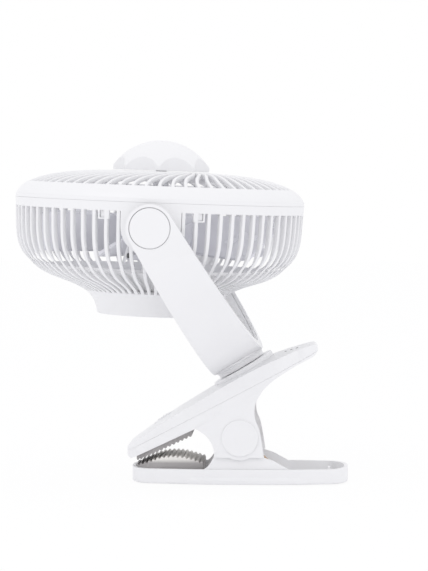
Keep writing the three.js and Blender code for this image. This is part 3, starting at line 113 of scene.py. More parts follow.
sky = bpy.data.worlds.new("sky")
bpy.context.scene.world = sky
sky.use_nodes = True
sky.node_tree.nodes.clear()
seen = wired(sky.node_tree, "ShaderNodeLightPath")
even = wired(sky.node_tree, "ShaderNodeBackground",
             {"Color": (0.885, 0.885, 0.9, 1), "Strength": 1.12})
white = wired(sky.node_tree, "ShaderNodeBackground", {"Color": (1, 1, 1, 1), "Strength": 1})
chosen = wired(sky.node_tree, "ShaderNodeMixShader",
               {0: seen.outputs["Is Camera Ray"], 1: even.outputs[0], 2: white.outputs[0]})
wired(sky.node_tree, "ShaderNodeOutputWorld", {"Surface": chosen.outputs[0]})

bpy.ops.object.select_all(action="DESELECT")
bpy.ops.mesh.primitive_plane_add(size=8)
floor = bpy.context.object
floor.name = "floor"
paper = bpy.data.materials.new("white_paper")
paper.use_nodes = True
paper.node_tree.nodes.clear()
sheet = wired(paper.node_tree, "ShaderNodeBsdfDiffuse", {"Color": (0.95, 0.95, 0.96, 1)})
glow = wired(paper.node_tree, "ShaderNodeEmission", {"Color": (1, 1, 1, 1), "Strength": 1})
seen = wired(paper.node_tree, "ShaderNodeLightPath")
share = wired(paper.node_tree, "ShaderNodeMath",
              {0: seen.outputs["Is Camera Ray"], 1: 0.9}, operation="MULTIPLY")
blend = wired(paper.node_tree, "ShaderNodeMixShader",
              {0: share.outputs[0], 1: sheet.outputs[0], 2: glow.outputs[0]})
wired(paper.node_tree, "ShaderNodeOutputMaterial", {"Surface": blend.outputs[0]})
floor.data.materials.append(paper)

# %% [markdown]
# ## Finishes
# Moulded plastic is never one flat colour. The mould is spark-eroded, which leaves a fine grain, and
# the gloss varies a little where the plastic cooled. Both come from noise on Object coordinates:
# fine noise bends the surface through a Bump node, and broad noise moves the gloss and the tint.

# %% Moulded finish
def moulded(name, colour, shade, gloss, grain=1800.0, depth=0.000012, metal=0.0):
    """A plastic, rubber or metal that runs between two colours and two roughnesses."""
    finish = bpy.data.materials.new(name)
    finish.use_nodes = True
    tree = finish.node_tree
    tree.nodes.clear()
    place = wired(tree, "ShaderNodeTexCoord")
    broad = wired(tree, "ShaderNodeTexNoise",
                  {"Vector": place.outputs["Object"], "Scale": 34.0, "Detail": 3.0})
    fine = wired(tree, "ShaderNodeTexNoise",
                 {"Vector": place.outputs["Object"], "Scale": grain, "Detail": 2.0})
    tint = wired(tree, "ShaderNodeMix", {0: broad.outputs["Fac"]}, data_type="RGBA")
    tint.inputs[6].default_value = (*colour, 1)
    tint.inputs[7].default_value = (*shade, 1)
    rough = wired(tree, "ShaderNodeMapRange", {
        "Value": broad.outputs["Fac"], "To Min": gloss[0], "To Max": gloss[1]})
    bump = wired(tree, "ShaderNodeBump",
                 {"Height": fine.outputs["Fac"], "Strength": 0.5, "Distance": depth})
    surface = wired(tree, "ShaderNodeBsdfPrincipled", {
        "Base Color": tint.outputs[2], "Roughness": rough.outputs[0],
        "Metallic": metal, "Normal": bump.outputs[0]})
    wired(tree, "ShaderNodeOutputMaterial", {"Surface": surface.outputs[0]})
    return finish


finishes = {
    "shell": moulded("white_abs", (0.85, 0.85, 0.862), (0.82, 0.82, 0.835), (0.3, 0.42)),
    "blade": moulded("pale_lavender_abs", (0.87, 0.87, 0.92), (0.83, 0.83, 0.89), (0.2, 0.32)),
    "rubber": moulded("grey_rubber", (0.34, 0.325, 0.325), (0.29, 0.275, 0.275), (0.6, 0.8),
                      900, 0.00003),
    "steel": moulded("plain_steel", (0.62, 0.61, 0.6), (0.5, 0.5, 0.5), (0.25, 0.4),
                     2500, 0.000006, 1.0),
    "spring": moulded("oiled_spring_steel", (0.5, 0.36, 0.25), (0.34, 0.23, 0.15), (0.25, 0.45),
                      2200, 0.00001, 1.0),
    "copper": moulded("enamelled_copper", (0.55, 0.24, 0.1), (0.4, 0.16, 0.07), (0.3, 0.4),
                      2600, 0.00002, 0.9),
    "board": moulded("green_resist", (0.03, 0.14, 0.06), (0.02, 0.1, 0.045), (0.35, 0.5)),
    "cell": moulded("cell_foil", (0.6, 0.61, 0.63), (0.5, 0.51, 0.54), (0.3, 0.45),
                    700, 0.00003, 0.8),
    "magnet": moulded("ferrite", (0.03, 0.03, 0.033), (0.05, 0.05, 0.052), (0.5, 0.65)),
    "lead": moulded("pale_lead", (0.72, 0.72, 0.74), (0.66, 0.66, 0.69), (0.4, 0.55)),
    "light": moulded("smoked_lens", (0.12, 0.12, 0.13), (0.08, 0.08, 0.09), (0.15, 0.25)),
}
slots = {entry["node"]: entry["material_slot"] for entry in frame["record"]["subparts"]}
for name, node in frame["nodes"].items():
    node.data.materials.clear()
    node.data.materials.append(finishes[slots[name]])
print("finishes:", ", ".join(sorted(finishes)))

# %% [markdown]
# ## Bench tools
# Almost every moulding here is either turned (a profile carried round an axis) or swept (a small
# section carried along a line). Both are made as by hand: a ring or a face is extruded,
# moved, scaled or turned, and extruded again. Sizes are in millimetres, as on a drawing.

# %% Start clean, apply, join
MM = 0.001
TURN = -1  # with no window, transform.rotate turns the other way


def deselected():
    if bpy.context.object and bpy.context.object.mode == "EDIT":
        bpy.ops.object.mode_set(mode="OBJECT")
    bpy.ops.object.select_all(action="DESELECT")


def picked(*pieces):
    deselected()
    for piece in pieces:
        piece.select_set(True)
    bpy.context.view_layer.objects.active = pieces[0]
    return pieces[0]


def applied(piece):
    """Put the object's place, turn and size into its mesh."""
    picked(piece)
    bpy.ops.object.transform_apply(location=True, rotation=True, scale=True)
    return piece


def closed(piece, apart=0.00002):
    """Merge what lies on itself and point every face outwards."""
    picked(piece)
    bpy.ops.object.mode_set(mode="EDIT")
    bpy.ops.mesh.select_all(action="SELECT")
    bpy.ops.mesh.remove_doubles(threshold=apart)
    bpy.ops.mesh.normals_make_consistent(inside=False)
    bpy.ops.object.mode_set(mode="OBJECT")
    return piece


def joined(name, pieces):
    picked(*pieces)
    if len(pieces) > 1:
        bpy.ops.object.join()
    made = bpy.context.object
    made.name = made.data.name = name
    return made


def copied(piece, matrix):
    """A copy with a mesh of its own, carried by a matrix."""
    again = piece.copy()
    again.data = piece.data.copy()
    again.data.transform(matrix)
    bpy.context.collection.objects.link(again)
    return again


def around(piece, count, first=0.0):
    """The same piece, count times round Z."""
    pieces = [copied(piece, Matrix.Rotation(math.radians(first + i * 360 / count), 4, "Z"))
              for i in range(count)]
    bpy.data.objects.remove(piece)
    return pieces


print("bench ready")

# %% Modifiers and boolean cuts
def modified(piece, kind, **settings):
    picked(piece)
    change = piece.modifiers.new(kind.lower(), kind)
    for key, value in settings.items():
        setattr(change, key, value)
    bpy.ops.object.modifier_apply(modifier=change.name)
    return piece


def rounded(piece, width, segments=2, angle=35):
    return modified(piece, "BEVEL", width=width * MM, segments=segments, limit_method="ANGLE",
                    angle_limit=math.radians(angle), harden_normals=False)


def combined(piece, tool, operation="DIFFERENCE"):
    modified(piece, "BOOLEAN", object=tool, operation=operation, solver="EXACT")
    bpy.data.objects.remove(tool)
    return piece


def smooth(piece, angle=32):
    picked(piece)
    bpy.ops.object.shade_smooth_by_angle(angle=math.radians(angle))
    return piece


# %% Turned and swept forms
def turned(name, profile, faces=96):
    """A profile of (radius, height) carried round Z. It closes on itself, or ends on the axis."""
    deselected()
    first, *others = profile
    start = first[0] > 0
    if not start:
        first, *others = others
    bpy.ops.mesh.primitive_circle_add(vertices=faces, radius=first[0] * MM,
                                      location=(0, 0, first[1] * MM),
                                      fill_type="NOTHING" if start else "TRIFAN")
    made = applied(bpy.context.object)
    bpy.ops.object.mode_set(mode="EDIT")
    bpy.ops.mesh.select_all(action="SELECT")
    if not start:
        bpy.ops.mesh.region_to_loop()
    radius, height = first
    for r, z in others:
        bpy.ops.mesh.extrude_edges_move(TRANSFORM_OT_translate={"value": (0, 0, (z - height) * MM)})
        if r == 0:
            bpy.ops.mesh.merge(type="CENTER")
            break
        bpy.ops.transform.resize(value=(r / radius, r / radius, 1),
                                 center_override=(0, 0, z * MM))
        radius, height = r, z
    bpy.ops.object.mode_set(mode="OBJECT")
    made.name = made.data.name = name
    return closed(made)


def swept(name, across, deep, stations):
    """A bar along (place, heading, pitch) stations: heading turns about Z, pitch about Y."""
    deselected()
    bpy.ops.mesh.primitive_plane_add(size=1, rotation=(0, math.pi / 2, 0))
    made = bpy.context.object
    made.scale = (deep * MM, across * MM, 1)
    applied(made)
    place, heading, pitch = stations[0]
    made.rotation_euler = (0, math.radians(pitch), math.radians(heading))
    made.location = [v * MM for v in place]
    applied(made)
    bpy.ops.object.mode_set(mode="EDIT")
    bpy.ops.mesh.select_all(action="SELECT")
    for (a, turn_a, pitch_a), (b, turn_b, pitch_b) in zip(stations, stations[1:]):
        step = [(q - p) * MM for p, q in zip(a, b)]
        bpy.ops.mesh.extrude_region_move(TRANSFORM_OT_translate={"value": step})
        middle = [v * MM for v in b]
        for axis, angle in (("Z", turn_b - turn_a), ("Y", pitch_b - pitch_a)):
            if angle:
                bpy.ops.transform.rotate(value=TURN * math.radians(angle), orient_axis=axis,
                                         center_override=middle)
    bpy.ops.object.mode_set(mode="OBJECT")
    made.name = made.data.name = name
    return closed(made)


def block(name, low, high, edge=0.0, segments=2):
    """A box between two corners, with its edges rounded."""
    deselected()
    bpy.ops.mesh.primitive_cube_add(size=1)
    made = bpy.context.object
    made.scale = [(b - a) * MM for a, b in zip(low, high)]
    made.location = [(a + b) / 2 * MM for a, b in zip(low, high)]
    made.name = made.data.name = name
    applied(made)
    return rounded(made, edge, segments) if edge else made


def prism(name, outline, low, high):
    """An outline of (x, y) points, extruded from one height to another."""
    deselected()
    bpy.ops.mesh.primitive_circle_add(vertices=len(outline), radius=1, fill_type="NGON")
    made = bpy.context.object
    for corner, (x, y) in zip(made.data.vertices, outline):
        corner.co = (x * MM, y * MM, low * MM)
    bpy.ops.object.mode_set(mode="EDIT")
    bpy.ops.mesh.select_all(action="SELECT")
    bpy.ops.mesh.extrude_region_move(TRANSFORM_OT_translate={"value": (0, 0, (high - low) * MM)})
    bpy.ops.object.mode_set(mode="OBJECT")
    made.name = made.data.name = name
    return closed(made)


def finished(piece, body, *nodes, finish=None, look=None):
    """Give a piece its finish, its body and the solids it stands for."""
    kind = finish or slots[nodes[0]]
    piece.data.materials.clear()
    piece.data.materials.append(look or finishes[kind])
    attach(piece, body)
    if nodes:
        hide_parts(*nodes)
    print(piece.name, len(piece.data.polygons), "faces")
    return piece


# %% [markdown]
# ## Where things stand
# The head, and the yoke that holds it, each have their own axis through the tilt pivot. A piece is
# made upright at the origin, which is easiest, and then carried to its place by one matrix.

# %% Axes of head and yoke
head_lean, yoke_lean = 2.15, -30.5  # degrees from upright
joints = frame["record"]["behaviour"]["joints"]
pivot = Vector(next(joint for joint in joints if joint["name"] == "head_tilt")["pos_m"])
on_head = Matrix.Translation(pivot) @ Matrix.Rotation(math.radians(head_lean), 4, "Y")
on_yoke = Matrix.Translation(pivot) @ Matrix.Rotation(math.radians(yoke_lean), 4, "Y")
seam = 15.0  # height of the seam between bowl and grille, over the pivot


def seated(piece, matrix):
    piece.data.transform(matrix)
    return piece


print("pivot at", [round(v, 4) for v in pivot])

# %% [markdown]
# ## The domed grille
# The grille is one moulding: a smooth rim, 64 ribs that sweep in spirals over a dome, and a
# hub cup. The rim and the hub are turned. One rib is a bar whose end face is extruded
# from station to station along the spiral. It is rounded once, and then copied round the axis.

# %% Grille
dome_height = 18.8
spiral_ribs = 64
window_angles = (-108.5, -71.5, 71.5, 108.5)  # the snap windows stand beside the pivots


def dome(radius):
    return dome_height * (1 - min(radius / 90, 1) ** 3.5) ** 0.49


def spiral(radius):
    """How far a rib has swept round at a radius, in degrees."""
    inward = (82 - radius) / 51
    return 28 * inward * abs(inward)


def spiral_rib():
    stations = []
    radii = [83.5 - i * (83.5 - 30) / 15 for i in range(16)]
    turns = [math.radians(spiral(r)) for r in radii]
    places = [Vector((r * math.cos(turn), r * math.sin(turn), seam + dome(r) - 1.72))
              for r, turn in zip(radii, turns)]
    for i, place in enumerate(places):
        along = places[min(i + 1, 15)] - places[max(i - 1, 0)]
        stations.append((place, math.degrees(math.atan2(along.y, along.x)), 0))
    return rounded(swept("rib", 2.0, 3.0, stations), 0.55, 2, 60)


outline = [(90, seam), (90, seam + 1.2), (89.93, seam + 2.2)]
outline += [(r, seam + dome(r)) for r in (89.7, 89.2, 88.4, 87.4, 86.2, 84.8, 83.4, 82.4)]
outline += [(81.9, seam + dome(82) - 0.5), (81.7, seam + dome(82) - 1.2), (82, seam + dome(82) - 3.6),
            (85.3, seam - 4.2), (87.3, seam - 4.2), (87.3, seam), (90, seam)]
rim = turned("rim", outline, 192)
deck = seam + dome(31)
hub = turned("hub", [(3.8, seam + 4), (5, seam + 4), (5, deck - 2), (29, deck - 2), (29, seam + 12),
                     (31, seam + 12), (31, deck - 0.6), (30.6, deck - 0.1), (30, deck), (3.8, deck),
                     (3.8, seam + 4)], 96)
tongues = []
for angle in window_angles:
    for inner, outer, bottom, top in ((84.7, 86.6, 5.4, 11.8), (84.7, 88.5, 5.4, 10)):
        tongue = block("tongue", (inner, -2.25, bottom), (outer, 2.25, top), 0.3)
        tongues.append(seated(tongue, Matrix.Rotation(math.radians(angle), 4, "Z")))
ribs = around(spiral_rib(), spiral_ribs, 360 / (2 * spiral_ribs))
grille = smooth(joined("domed_grille", [rim, hub, *ribs, *tongues]))
finished(seated(grille, on_head), "head", "front_grille")

# %% [markdown]
# ## The ribbed bowl
# Behind the blades the guard is a bowl of 72 straight ribs between a plain band and a closed
# neck. Round each pivot the ribs give way to a plain panel with a boss. The bowl's line is
# two Bezier curves, sampled once, and ribs, panels and neck all follow it.

# %% The bowl's line
def bezier(a, b, c, d, steps):
    points = []
    for i in range(1, steps + 1):
        t = i / steps
        points.append(tuple(
            (1 - t) ** 3 * p + 3 * t * (1 - t) ** 2 * q + 3 * t * t * (1 - t) * r + t ** 3 * s
            for p, q, r, s in zip(a, b, c, d)))
    return points


bowl = [(90, 0.3), (89.3, 16)]
bowl += bezier((89.3, 16), (88.6, 33), (84, 43), (64.7, 49.1), 40)
bowl += bezier((64.7, 49.1), (52, 53.2), (38.8, 57.5), (38, 70.8), 40)


def bowl_at(depth):
    """Radius of the bowl's outside at a depth, and the way it runs there in degrees."""
    for (r0, d0), (r1, d1) in zip(bowl, bowl[1:]):
        if d1 >= depth:
            share = (depth - d0) / (d1 - d0)
            return r0 + (r1 - r0) * share, math.degrees(math.atan2(r0 - r1, d1 - d0))
    return bowl[-1][0], 0.0


def inset(depth, distance):
    """A point a distance inside the bowl's line, as (radius, height over the pivot)."""
    radius, lean = bowl_at(depth)
    lean = math.radians(lean)
    return radius - distance * math.cos(lean), seam - depth + distance * math.sin(lean)


def cage_rib(top):
    """A rib down the bowl, from a depth to the neck, where it sinks into the wall."""
    depths = [top + i * (64.5 - top) / 26 for i in range(27)]
    depths = sorted(set(depths + [46, 47.5, 49.1, 50.5, 52]))
    stations = []
    for depth in depths:
        sunk = 1.55 + max(depth - 60, 0) * 0.22
        radius, height = inset(depth, sunk)
        stations.append(((radius, 0, height), 0, 90 - bowl_at(depth)[1] + 180))
    return rounded(swept("rib", 2.0, 3.0, stations), 0.5, 2, 60)


print("bowl is", round(bowl_at(46)[0], 1), "mm in radius where it turns in")

# %% Band, panels, bosses and neck
band = turned("band", [(90, 14.9), (89.75, 9.8), (89.45, 9.4), (87.9, 9.4), (87.6, 9.8),
                       (87.6, 14.9), (90, 14.9)], 192)
line = [inset(d, 0) for d in (1, 5, 10, 16, 21, 26, 31, 35)]
back = [inset(d, 2.4) for d in (35, 31, 26, 21, 16, 10, 5, 1)]
half = 18.0
round_end = [(half * math.cos(math.radians(a)), 1 + half * math.sin(math.radians(a)))
             for a in range(190, 351, 10)]
arch = [(-half, 14.6), (-half, 1)] + round_end + [(half, 1), (half, 14.6)]
panels = []
for side in (-1, 1):
    shell = turned("panel", line + back + line[:1], 144)
    stamp = prism("stamp", arch, 60, 100)
    if side > 0:
        upright = Matrix.Rotation(math.pi, 4, "Z") @ Matrix.Rotation(math.radians(90), 4, "X")
    else:
        upright = Matrix.Rotation(math.radians(90), 4, "X")
    seated(stamp, upright)
    panels.append(combined(shell, stamp, "INTERSECT"))
    boss = turned("boss", [(0, 87.9), (13.2, 87.9), (13.2, 91.0), (12.8, 91.4), (0, 91.4)], 64)
    panels.append(seated(boss, upright))
wall = [inset(d, 1) for d in (57.5, 58.5, 60, 62, 64.5, 67.5, 70)]
inside = [inset(d, 3.2) for d in (66, 62, 59, 57.5)]
bottom = seam - 70.8
neck = turned("neck", [(0, bottom), (36.4, bottom), (36.9, bottom + 0.4)] + wall[::-1][1:] + inside[::-1]
              + [(33.8, bottom + 2.2), (0, bottom + 2.2)], 144)
print("band, panels and neck made")

# %% All the ribs, and the snap windows beside the pivots
free_rib = cage_rib(5.0)
ribs = []
panel_half = 16  # ribs nearer than this to a pivot start under its panel
for i in range(72):
    angle = (i + 0.5) * 5
    across = 90 * math.cos(math.radians(angle))
    turn = Matrix.Rotation(math.radians(angle), 4, "Z")
    if abs(across) < panel_half:
        short = cage_rib(15 + 17 - panel_half + math.sqrt(panel_half ** 2 - across ** 2) - 3)
        ribs.append(seated(short, turn))
    else:
        ribs.append(copied(free_rib, turn))
bpy.data.objects.remove(free_rib)
frames = []
for angle in window_angles:
    outer = block("window", (87.2, -3.5, 4.2), (89.7, 3.5, 10.2), 0.4)
    hole = block("hole", (80, -2.55, 5.1), (93, 2.55, 9.7), 0.3)
    frames.append(seated(combined(outer, hole), Matrix.Rotation(math.radians(angle), 4, "Z")))
cage = smooth(joined("ribbed_bowl", [band, neck, *panels, *ribs, *frames]))
finished(seated(cage, on_head), "head", "rear_cage")

# %% [markdown]
# ## The knob
# The knob is a low dome with eight finger flutes round it. A prism gets the fluted outline, which
# is eight arcs, and a boolean keeps what also lies under the dome. The bevel then leaves the thin
# bright edge where dome and flutes meet.

# %% Knob
knob_bottom = deck + 0.4
knob_top = seam + 37.8


def arc(x, y, radius, start, end, steps):
    """Points on an arc, from one angle to another in degrees."""
    angles = [math.radians(start + (end - start) * i / steps) for i in range(steps + 1)]
    return [(x + radius * math.cos(a), y + radius * math.sin(a)) for a in angles]


def fluted(reach=30.0, flute=23.5, centre=49.0, count=8):
    at_hub = math.acos((reach ** 2 + centre ** 2 - flute ** 2) / (2 * reach * centre))
    half = math.degrees(math.asin(reach * math.sin(at_hub) / flute))
    points = []
    for i in range(count):
        turn = (i + 0.5) * 360 / count
        x, y = centre * math.cos(math.radians(turn)), centre * math.sin(math.radians(turn))
        points += arc(x, y, flute, turn + 180 + half, turn + 180 - half, 14)
    return points


def dome_line(radius, reach, top, steps):
    radii = (reach * i / steps for i in range(steps + 1))
    return [(r, top - radius + math.sqrt(radius ** 2 - r ** 2)) for r in radii]


cap_profile = dome_line(36, 31, knob_top, 16) + [(31, knob_bottom - 1), (0, knob_bottom - 1)]
cap = turned("cap", cap_profile, 128)
knob = combined(prism("knob", fluted(), knob_bottom, knob_top + 1), cap, "INTERSECT")
knob = rounded(knob, 0.55, 3, 38)
inside = dome_line(36, 23.1, knob_top - 2.4, 8)[1:]
cup = [(3.4, knob_bottom - 1), (3.4, inside[0][1])] + inside
cup += [(23.1, knob_bottom - 1), (3.4, knob_bottom - 1)]
knob = combined(knob, turned("cup", cup, 64))
stem = turned("stem", [(0, seam + 4), (3, seam + 4), (3.4, seam + 4.4), (3.4, knob_bottom + 0.5),
                       (0, knob_bottom + 0.5)], 32)
knob = smooth(joined("fluted_knob", [knob, stem]), 30)
finished(seated(knob, on_head), "knob", "front_knob")

# %% [markdown]
# ## The impeller
# Five wide blades stand on a cup-shaped hub. A blade is a sheet that rises as it goes round, and
# trails as it goes out. A grid is bent to that form by its two directions, Solidify gives it its wall,
# and the bevel rounds its edges, as a moulded blade's are.

# %% Impeller
def fan_blade():
    deselected()
    bpy.ops.mesh.primitive_grid_add(x_subdivisions=18, y_subdivisions=18, size=1)
    made = bpy.context.object
    for corner in made.data.vertices:
        out, along = corner.co.x + 0.5, corner.co.y
        radius = 20 + 58.5 * out
        chord = (62 - 18 * out) * (1 - 0.16 * out ** 8)
        turn = math.radians(along * chord - out * 24)
        height = (seam - 20.5 + along * (22 + 5 * out) * (1 - 0.1 * out ** 8)
                  + 2.5 * (1 - 4 * along ** 2) * out)
        corner.co = Vector((radius * math.cos(turn), radius * math.sin(turn), height)) * MM
    modified(made, "SOLIDIFY", thickness=1.8 * MM, offset=0)
    return rounded(made, 0.5, 2, 60)


wheel_hub = turned("wheel_hub", [
    (1.7, 11), (8, 11), (8.6, 10.8), (12, 10.7), (16, 10.1), (18.2, 9), (19.8, 7.6), (20.7, 6), (21, 4.5),
    (21, -21.6), (20.6, -22), (19, -22), (19, 4), (18.3, 6.4), (16.5, 8), (1.7, 8), (1.7, 11)], 96)
blades = around(fan_blade(), 5)
wheel = smooth(joined("five_blade_wheel", [wheel_hub, *blades]), 40)
finished(seated(wheel, on_head), "impeller", "impeller")

# %% [markdown]
# ## The motor mount
# Under the blades a dished plate closes the neck and carries the motor on a stem. It is one
# turned profile, which follows the bowl's line at a constant distance inside the ribs.

# %% Motor mount
dish_under = [inset(d, 4.1) for d in (46.5, 48, 49.5, 51, 53.7, 56, 58)]
dish_over = [inset(d, 6.1) for d in (56, 53.7, 51, 49.5, 48, 46.5)]
floor_under = dish_under[-1][1]
mount = turned("dished_mount", [
    (4.6, 0), (6.1, 0), (6.1, -16.6), (6.5, -17), (9, -17), (11, floor_under + 2)]
    + dish_over + dish_under + [(9, floor_under), (7, -19), (4.6, -19), (4.6, 0)], 120)
finished(smooth(seated(mount, on_head)), "head", "motor_mount")

# %% [markdown]
# ## The yoke
# The yoke is one U-shaped band with a channel in its inner side, round ends at the pivots and a
# turned neck below. Seen from the end it is a U, and seen from the side it is a strip that widens
# towards the foot. Each view is drawn as a prism, and the band is what the two have in common.

# %% Yoke band and liner
FROM_END = Matrix(((0, 0, 1, 0), (1, 0, 0, 0), (0, 1, 0, 0), (0, 0, 0, 1)))
FROM_SIDE = Matrix.Rotation(math.radians(90), 4, "X")
arm_inner, arm_outer = 93.0, 98.75
disc_thick = neck_height = 3.75
disc_top = arm_outer + neck_height
disc_low = -disc_top - disc_thick


def lying(side):
    """Turns an upright piece to lie along Y, with its top outwards on one side."""
    return Matrix.Rotation(math.radians(-90 * side), 4, "X")


def yoke_band(name, inner, outer, narrow):
    top = 15.2
    u_outline = [(-outer, top)] + arc(0, 0, outer, 180, 360, 96) + [(outer, top), (inner, top)]
    u_outline += arc(0, 0, inner, 360, 180, 96) + [(-inner, top)]
    strip = [(-17 + narrow, -outer - 1), (17 - narrow, -outer - 1)]
    strip += arc(0, 0, 14.15 - narrow, 0, 180, 40)
    made = seated(prism(name, u_outline, -18, 18), FROM_END)
    side_view = seated(prism("side_view", strip, -outer - 1, outer + 1), FROM_SIDE)
    return combined(made, side_view, "INTERSECT")


yoke = yoke_band("yoke", arm_inner, arm_outer, 0)
yoke = combined(yoke, yoke_band("channel", arm_inner - 1, arm_outer - 2, 2))
seats = []
for side in (-1, 1):
    seat = turned("seat", [(0, 94.7), (12.6, 94.7), (12.6, 97.6), (0, 97.6)], 64)
    yoke = combined(yoke, seated(seat, lying(side)), "UNION")
    recess = turned("recess", [(0, 90), (4.3, 90), (4.3, 95.05), (7.3, 95.05), (7.3, 96.65), (12.3, 96.65),
                               (12.3, 98.3), (12.7, 100), (0, 100)], 64)
    yoke = combined(yoke, seated(recess, lying(side)))
neck_low = disc_low - 2.8
neck_line = [(0, neck_low), (8, neck_low), (8, -disc_top + 0.4), (15.3, -disc_top + 0.4),
             (15.5, -disc_top + 0.6), (15.6, -100.2), (16.0, -99.2), (16.9, -98.5), (17, -97.4),
             (0, -97.4)]
yoke = rounded(yoke, 0.7, 3, 50)
yoke = smooth(joined("u_yoke", [yoke, turned("yoke_neck", neck_line, 96)]), 30)
finished(seated(yoke, on_yoke), "yoke", "yoke_frame")

liner = yoke_band("channel_liner", arm_inner, arm_inner + 1.4, 2.3)
for side in (-1, 1):
    hole = seated(turned("hole", [(0, 90), (9.6, 90), (9.6, 97), (0, 97)], 48), lying(side))
    liner = combined(liner, hole)
finished(smooth(seated(liner, on_yoke)), "yoke", "yoke_liner")

# %% [markdown]
# ## Caps and the swivel disc
# Small snap-in caps hide the pivots. They are turned, with a soft edge that leaves the thin dark
# gap round them that such caps have. The disc under the neck is turned the same way.

# %% Pivot caps and disc
for side, name in ((-1, "near"), (1, "far")):
    cap = turned(f"pivot_button_{name}", [
        (0, 96.8), (12, 96.8), (12, 98.1), (11.85, 98.5), (11.4, 98.7), (10.8, 98.75), (0, 98.65)], 72)
    finished(smooth(seated(cap, on_yoke @ lying(side))), "yoke", f"pivot_cap_{name}")
disc = turned("turntable", [
    (8.4, disc_low), (20.3, disc_low), (20.6, disc_low + 0.3), (20.6, -disc_top - 0.7),
    (20.4, -disc_top - 0.2), (19.9, -disc_top), (8.4, -disc_top), (8.4, disc_low)], 96)
finished(smooth(seated(disc, on_yoke)), "upper_jaw", "swivel_disc")

# %% [markdown]
# ## The clip: outlines
# Both jaws have a boat-shaped plan with round corners and swelling sides. The upper jaw's cover is
# a slope with a crowned top. A side view and a plan are drawn, and the boolean keeps what they share.

# %% Plans and curves
def boat(front, tail, front_half, middle_half, tail_half, middle, corner, steps=14):
    """A plan with round corners, whose sides swell to a middle width."""
    bulge = (tail - front) * 0.22
    side = bezier((front + corner, -front_half), (middle - bulge, -middle_half),
                  (middle - bulge, -middle_half), (middle, -middle_half), steps)
    side += bezier((middle, -middle_half), (middle + bulge, -middle_half),
                   (middle + bulge, -middle_half), (tail - corner, -tail_half), steps)
    rounding = []
    ends = ((tail, tail - corner, tail_half, 1), (front, front + corner, front_half, -1))
    for x, inner, half, way in ends:
        first = [(inner + (x - inner) * (1 - (1 - t) ** 2), -way * half * (1 - t * t))
                 for t in (i / steps for i in range(1, steps + 1))]
        last = [(px, -py) for px, py in first[:-1]][::-1] + [(inner, way * half)]
        rounding.append(first + last)
    other = [(x, -y) for x, y in side[:-1]][::-1] + [(front + corner, front_half)]
    return side + rounding[0] + other + rounding[1]


def curve(points, steps=6):
    """A smooth line through points."""
    line = []
    for i in range(len(points) - 1):
        p0, p1, p2, p3 = (Vector(points[max(min(k, len(points) - 1), 0)])
                          for k in (i - 1, i, i + 1, i + 2))
        for j in range(steps):
            t = j / steps
            line.append(tuple(0.5 * (
                2 * p1 + (p2 - p0) * t + (2 * p0 - 5 * p1 + 4 * p2 - p3) * t ** 2
                + (3 * p1 - p0 - 3 * p2 + p3) * t ** 3)))
    return line + [tuple(points[-1])]


def levels(name, outlines):
    """Outlines of equal count at rising heights, joined by walls."""
    line = outlines[0][0]
    kept = [i for i in range(len(line)) if math.dist(line[i], line[i - 1]) > 0.05]
    rings = [([line[i] for i in kept], height) for line, height in outlines]
    made = prism(name, rings[0][0], rings[0][1], rings[1][1])
    for step, (below, above) in enumerate(zip(rings, rings[1:])):
        top = max(corner.co.z for corner in made.data.vertices)
        if step:
            picked(made)
            bpy.ops.object.mode_set(mode="EDIT")
            bpy.ops.mesh.select_mode(type="FACE")
            bpy.ops.mesh.select_all(action="DESELECT")
            bpy.ops.object.mode_set(mode="OBJECT")
            for face in made.data.polygons:
                face.select = abs(face.center.z - top) < 1e-7
            bpy.ops.object.mode_set(mode="EDIT")
            step_up = (0, 0, above[1] * MM - top)
            bpy.ops.mesh.extrude_region_move(TRANSFORM_OT_translate={"value": step_up})
            bpy.ops.object.mode_set(mode="OBJECT")
            top = above[1] * MM
        for corner in made.data.vertices:
            if abs(corner.co.z - top) < 1e-7:
                here = (corner.co.x / MM, corner.co.y / MM)
                nearest = min(range(len(kept)), key=lambda i: math.dist(below[0][i], here))
                x, y = above[0][nearest]
                corner.co.x, corner.co.y = x * MM, y * MM
    return made


def sliced(piece, low, high, count):
    """Cuts across Y, so that a flat form can be crowned."""
    picked(piece)
    for i in range(1, count):
        place = (0, (low + (high - low) * i / count) * MM, 0)
        bpy.ops.object.mode_set(mode="EDIT")
        bpy.ops.mesh.select_all(action="SELECT")
        bpy.ops.mesh.bisect(plane_co=place, plane_no=(0, 1, 0))
        bpy.ops.object.mode_set(mode="OBJECT")
    return piece


nose_x, tail_x = -71, 48.1
nose_seam, tail_seam = 19.4, 82  # heights of the seam between cover and body
half_gap = 0.06  # half the gap that shows there
cheek_face, cheek_back = 28, 26.2
pin_height = 29
slope = (tail_seam - nose_seam) / (tail_x - nose_x)


def seam_at(x):
    return nose_seam + (x - nose_x) * slope


def jaw_plan(narrow):
    return boat(nose_x + narrow, tail_x - narrow, 23 - narrow, cheek_face - narrow, 20 - narrow, 0, 12)


def on_pin(side=1):
    """The spring pin's middle, with Z lying along the pin."""
    return Matrix.Translation((0, 0, pin_height * MM)) @ lying(side)


print("slope of the upper jaw:", round(math.degrees(math.atan(slope)), 1), "degrees")

# %% [markdown]
# ## The upper jaw's cover
# The cover's top is crowned: its long edges fall 2.4 mm below its middle line. The side view is
# extruded, sliced across, crowned by moving its vertices down, and cut to the plan. Its edge is then
# rounded. The disc's seat, the button's hole and the three light holes are cut last.

# %% Cover
top_line = curve([(-70.9, 21), (-69.6, 23.2), (-65.6, 26.9), (-45, 41.6), (-19.4, 57.6), (2, 70),
                  (21.4, 79.4), (40, 85.4), (45.6, 86.5), (47.8, 84.8)])
button_x = -49
light_places = (27.9, 31.4, 34.9)
light_side = Matrix.Translation((0, -11 * MM, 0))


